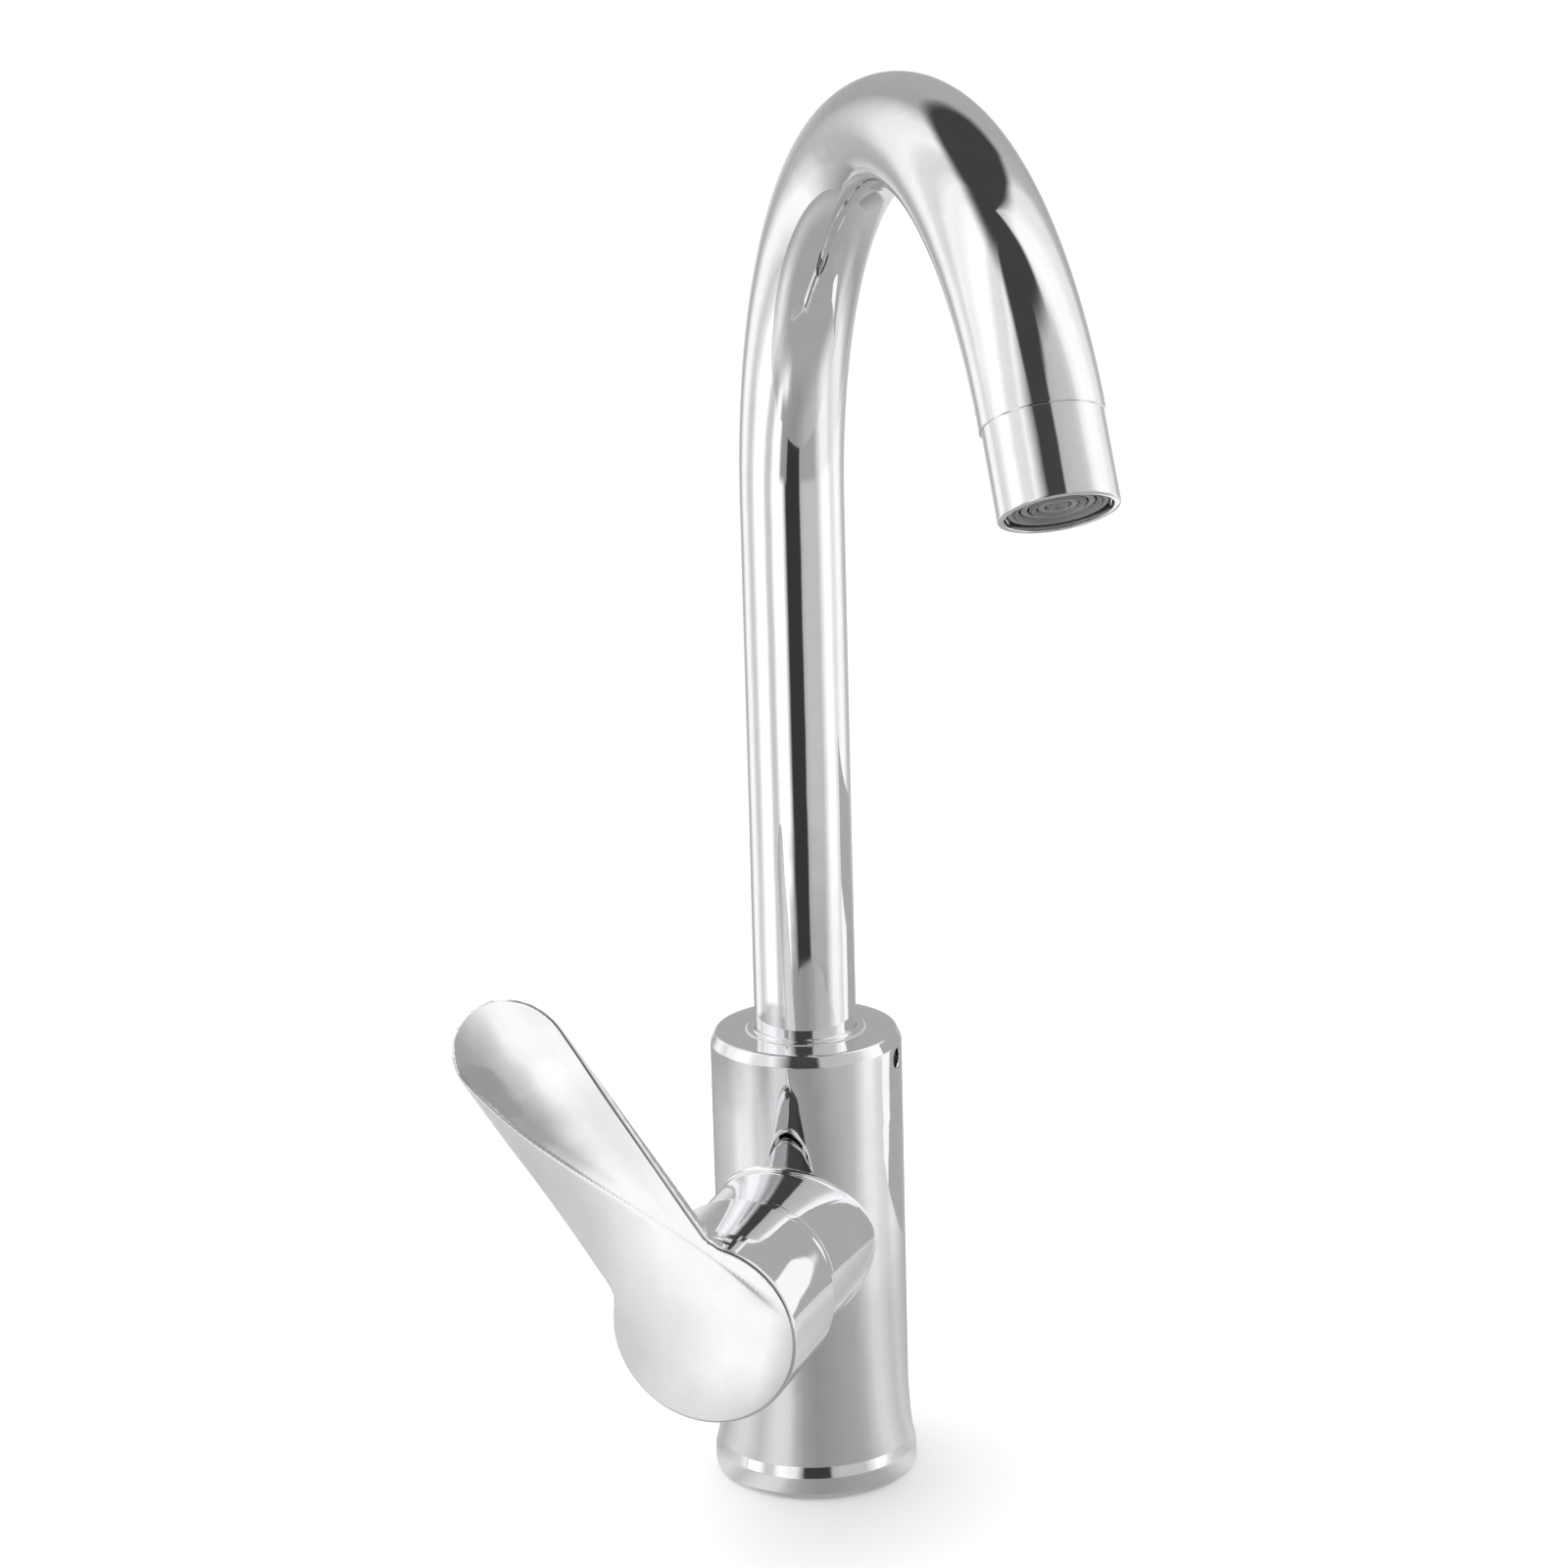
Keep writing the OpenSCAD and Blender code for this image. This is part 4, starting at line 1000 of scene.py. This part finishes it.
table_reflection_glow, tree, light, axes, angle, where = glow("painted_table_reflection")
reach = node(tree, "ShaderNodeVectorMath", {"operation": "LENGTH"}, _0=where).outputs["Value"]
turn = ranged(tree, angle, 0, 1, -math.pi, math.pi)
# Close to the tap the table's reflection is darker: the painted shadow of the tap on the table.
close = by_azimuth(tree, turn, [
    (-180, 0.5), (-155, 0.74), (-146, 0.74), (-129, 0.56), (-113, 0.76), (-105, 0.76), (-98, 0.7),
    (-91, 0.48), (-83, 0.36), (-69, 0.3), (-25, 0.4), (-17, 0.46), (0, 0.7), (9, 0.72), (29, 0.56),
    (41, 0.64), (76, 0.46), (100, 0.42), (124, 0.6), (160, 0.6), (180, 0.5)])
near = by_azimuth(tree, turn, [
    (-180, 0.62), (-172, 0.68), (-161, 0.92), (-143, 0.9), (-134, 0.68), (-128, 0.7), (-120, 0.62),
    (-112, 0.66), (-100, 1.06), (-94, 1.04), (-91, 0.72), (-87, 0.46), (-80, 0.34), (-60, 0.3),
    (-17, 0.52), (0, 0.86), (10, 0.88), (20, 0.76), (30, 0.72), (41, 0.84), (72, 0.48), (100, 0.42),
    (122, 0.4), (180, 0.62)])
far = by_azimuth(tree, turn, [
    (-180, 0.42), (-159, 0.6), (-149, 0.76), (-140, 0.8), (-124, 0.44), (-117, 0.5), (-109, 1.12),
    (-106, 1.12), (-104, 1), (-103, 0.74), (-101, 0.52), (-99, 0.38), (-89, 0.34), (-69, 0.3),
    (-51, 0.38), (-44, 0.46), (-23, 0.5), (-15, 0.56), (2, 0.92), (11, 0.96), (20, 0.76),
    (31, 0.72), (43, 0.84), (58, 0.5), (120, 0.4), (180, 0.42)])
seen_from_above = 0.39
levels = between(tree, eased_node(tree, reach, 0.12, 0.2), close, near)
levels = between(tree, eased_node(tree, reach, 0.27, 0.36), levels, far)
facing = node(tree, "ShaderNodeLayerWeight", Blend=0.5).outputs["Facing"]
levels = between(tree, eased_node(tree, facing, 0.14, 0.3), seen_from_above, levels)
tree.links.new(levels, light.inputs["Color"])
sheet.data.materials.append(table_reflection_glow)
seen_by(sheet, False, False, True, False)

# The tent: a glowing dome that only reflections see, a painted reflection of the studio: white all
# round with a dark gap at the camera, greyer behind, dark overhead. Foot, low and middle are its
# brightness from the floor's edge upwards; brim is the height at which it turns dark, as a share of
# the tent's.
tent_r = 2.2
hem_top = -0.42
hem_low = -0.54
bpy.ops.mesh.primitive_uv_sphere_add(segments=96, ring_count=48, radius=tent_r, location=(0, 0, 0))
tent = bpy.context.object
tent.name = "reflection_tent"
painted_tent_reflection, tree, light, axes, angle, where = glow("painted_tent_reflection")
# The painted dark reflection overhead, where the tent turns dark.
painted_dark_overhead = 0.055
turn = ranged(tree, angle, 0, 1, -math.pi, math.pi)
lift = ranged(tree, axes.outputs["Z"], 0, 1, 0, tent_r)
foot = by_azimuth(tree, turn, [
    (-180, 0.66), (-170, 0.84), (-162, 1.14), (-138, 1.14), (-131, 0.64), (-122, 0.62),
    (-114, 1.14), (-102, 1.14), (-100, 1), (-98, 0.6), (-96, 0.36), (-84, 0.3), (-82, 0.04),
    (-56, 0.04), (-53, 0.38), (-20, 0.4), (-2, 0.98), (10, 1), (24, 0.76), (36, 0.92), (48, 0.94),
    (60, 0.58), (72, 0.38), (96, 0.5), (108, 0.3), (122, 0.26), (132, 0.36), (144, 0.6), (156, 1.08),
    (166, 1), (180, 0.66)])
low = by_azimuth(tree, turn, [
    (-180, 0.62), (-173, 0.66), (-167, 0.84), (-161, 1.14), (-138, 1.14), (-131, 0.64),
    (-122, 0.62), (-114, 1.14), (-94, 1.14), (-88, 0.5), (-85, 0.04), (-56, 0.04), (-53, 0.48),
    (-44, 0.56), (-15, 0.56), (0, 1.12), (15, 1.14), (24, 0.84), (32, 0.86), (40, 1.08), (52, 1.04),
    (60, 0.84), (68, 0.56), (88, 0.5), (98, 0.7), (122, 0.8), (135, 0.44), (143, 0.5), (156, 1.04),
    (168, 1.02), (176, 0.72)])
middle = by_azimuth(tree, turn, [
    (-180, 1), (-172, 0.96), (-162, 1.12), (-146, 1.1), (-138, 0.84), (-124, 0.8), (-116, 1),
    (-92, 0.06), (-57, 0.06), (-53, 0.5), (-10, 0.6), (0, 0.7), (8, 0.96), (20, 1.1), (40, 1.06),
    (50, 0.9), (62, 0.84), (70, 0.5), (84, 0.42), (112, 0.42), (134, 0.4), (142, 0.64), (150, 0.9),
    (160, 1), (166, 0.8), (173, 0.76), (180, 1)])
brim = by_azimuth(tree, turn, [
    (-180, 0.86), (-120, 0.88), (-106, 0.8), (-90, 0.62), (-54, 0.76), (-40, 0.84), (-5, 0.83),
    (14, 0.95), (36, 0.95), (48, 0.9), (60, 0.84), (78, 0.68), (125, 0.72), (180, 0.86)])
brim_end = node(tree, "ShaderNodeMath", {"operation": "ADD"}, _0=brim, _1=0.1).outputs[0]
hem = ranged(tree, axes.outputs["Z"], 0, 1, hem_top, hem_low)
levels = between(tree, hem, low, foot)
levels = between(tree, eased_node(tree, lift, 0.0, 0.3), levels, middle)
levels = between(tree, eased_node(tree, lift, brim, brim_end), levels, painted_dark_overhead)
tree.links.new(levels, light.inputs["Color"])
tent.data.materials.append(painted_tent_reflection)
seen_by(tent, False, False, True, False)

# A small glowing card beside the tap that only reflections see: its white paints the highlight on
# the hub, its grey paints the barrel's reflection. The edge between the two is a shallow bow.
bpy.ops.mesh.primitive_plane_add(size=1)
card = placed(bpy.context.object, Matrix.Translation((0.08, 0.06, 0.099))
              @ Matrix.Rotation(math.radians(90), 4, "X") @ Matrix.Diagonal((0.1, 0.118, 1, 1)))
card.name = "side_card"
card_grey = 0.42
card_white = 1.02
bow_top = 0.112
bow_edge = 0.076
bow_depth = 5.2
painted_hub_highlight, tree, light, axes, angle, where = glow("painted_hub_highlight")
below = node(tree, "ShaderNodeMath", {"operation": "SUBTRACT"}, _0=bow_top, _1=axes.outputs["Z"])
bow = node(tree, "ShaderNodeMath", {"operation": "POWER"}, _0=below.outputs[0], _1=2.0)
edge_x = node(tree, "ShaderNodeMath", {"operation": "MULTIPLY_ADD"},
              _0=bow.outputs[0], _1=bow_depth, _2=bow_edge)
past = node(tree, "ShaderNodeMath", {"operation": "SUBTRACT"},
            _0=axes.outputs["X"], _1=edge_x.outputs[0])
white = between(tree, eased_node(tree, axes.outputs["Z"], 0.114, 0.118), card_white, card_grey)
tree.links.new(between(tree, eased_node(tree, past.outputs[0], -0.001, 0.001), card_grey, white),
               light.inputs["Color"])
card.data.materials.append(painted_hub_highlight)
seen_by(card, False, False, True, False)

# The air: plain white, and half as bright in reflections. A soft light from above gives the shadow.
world = bpy.data.worlds.new("studio")
bpy.context.scene.world = world
world.use_nodes = True
tree = world.node_tree
tree.nodes.clear()
output = tree.nodes.new("ShaderNodeOutputWorld")
ray = tree.nodes.new("ShaderNodeLightPath")
blend = node(tree, "ShaderNodeMixShader", Fac=ray.outputs["Is Glossy Ray"])
for slot, strength in ((1, 1.12), (2, 0.5)):
    white_air = node(tree, "ShaderNodeBackground", Color=(1, 1, 1, 1), Strength=strength)
    tree.links.new(white_air.outputs[0], blend.inputs[slot])
tree.links.new(blend.outputs[0], output.inputs[0])

bpy.ops.object.light_add(type="AREA", location=(-0.5, -0.3, 1.3))
soft_light = bpy.context.object
soft_light.name = "soft_light"
soft_light.data.shape = "RECTANGLE"
soft_size = 1.2
soft_light.data.size = soft_size
soft_light.data.size_y = soft_size
soft_light.data.energy = 6
towards_tap = Vector((0, 0, 0.1)) - soft_light.location
soft_light.rotation_euler = towards_tap.to_track_quat("-Z", "Y").to_euler()
soft_light.visible_glossy = False
soft_light.visible_camera = False


# Camera at the photograph's place, with its lens and its slight lean.
camera_data = bpy.data.cameras.new("camera")
camera_data.lens = 90.08
camera_data.sensor_width = 36
camera_data.clip_start = 0.01
camera_data.clip_end = 100
camera = bpy.data.objects.new("camera", camera_data)
bpy.context.scene.collection.objects.link(camera)
right = Vector((0.94572, 0.32395, -0.02612)).normalized()
forward = Vector((-0.31979, 0.91318, -0.25263)).normalized()
up = right.cross(forward).normalized()
right = forward.cross(up)
camera.matrix_world = Matrix.Translation((0.30096, -0.87063, 0.41759)) @ Matrix(
    (right, up, -forward)).transposed().to_4x4()
bpy.context.scene.camera = camera
bpy.context.scene.view_settings.view_transform = "Standard"
bpy.context.scene.view_settings.look = "None"
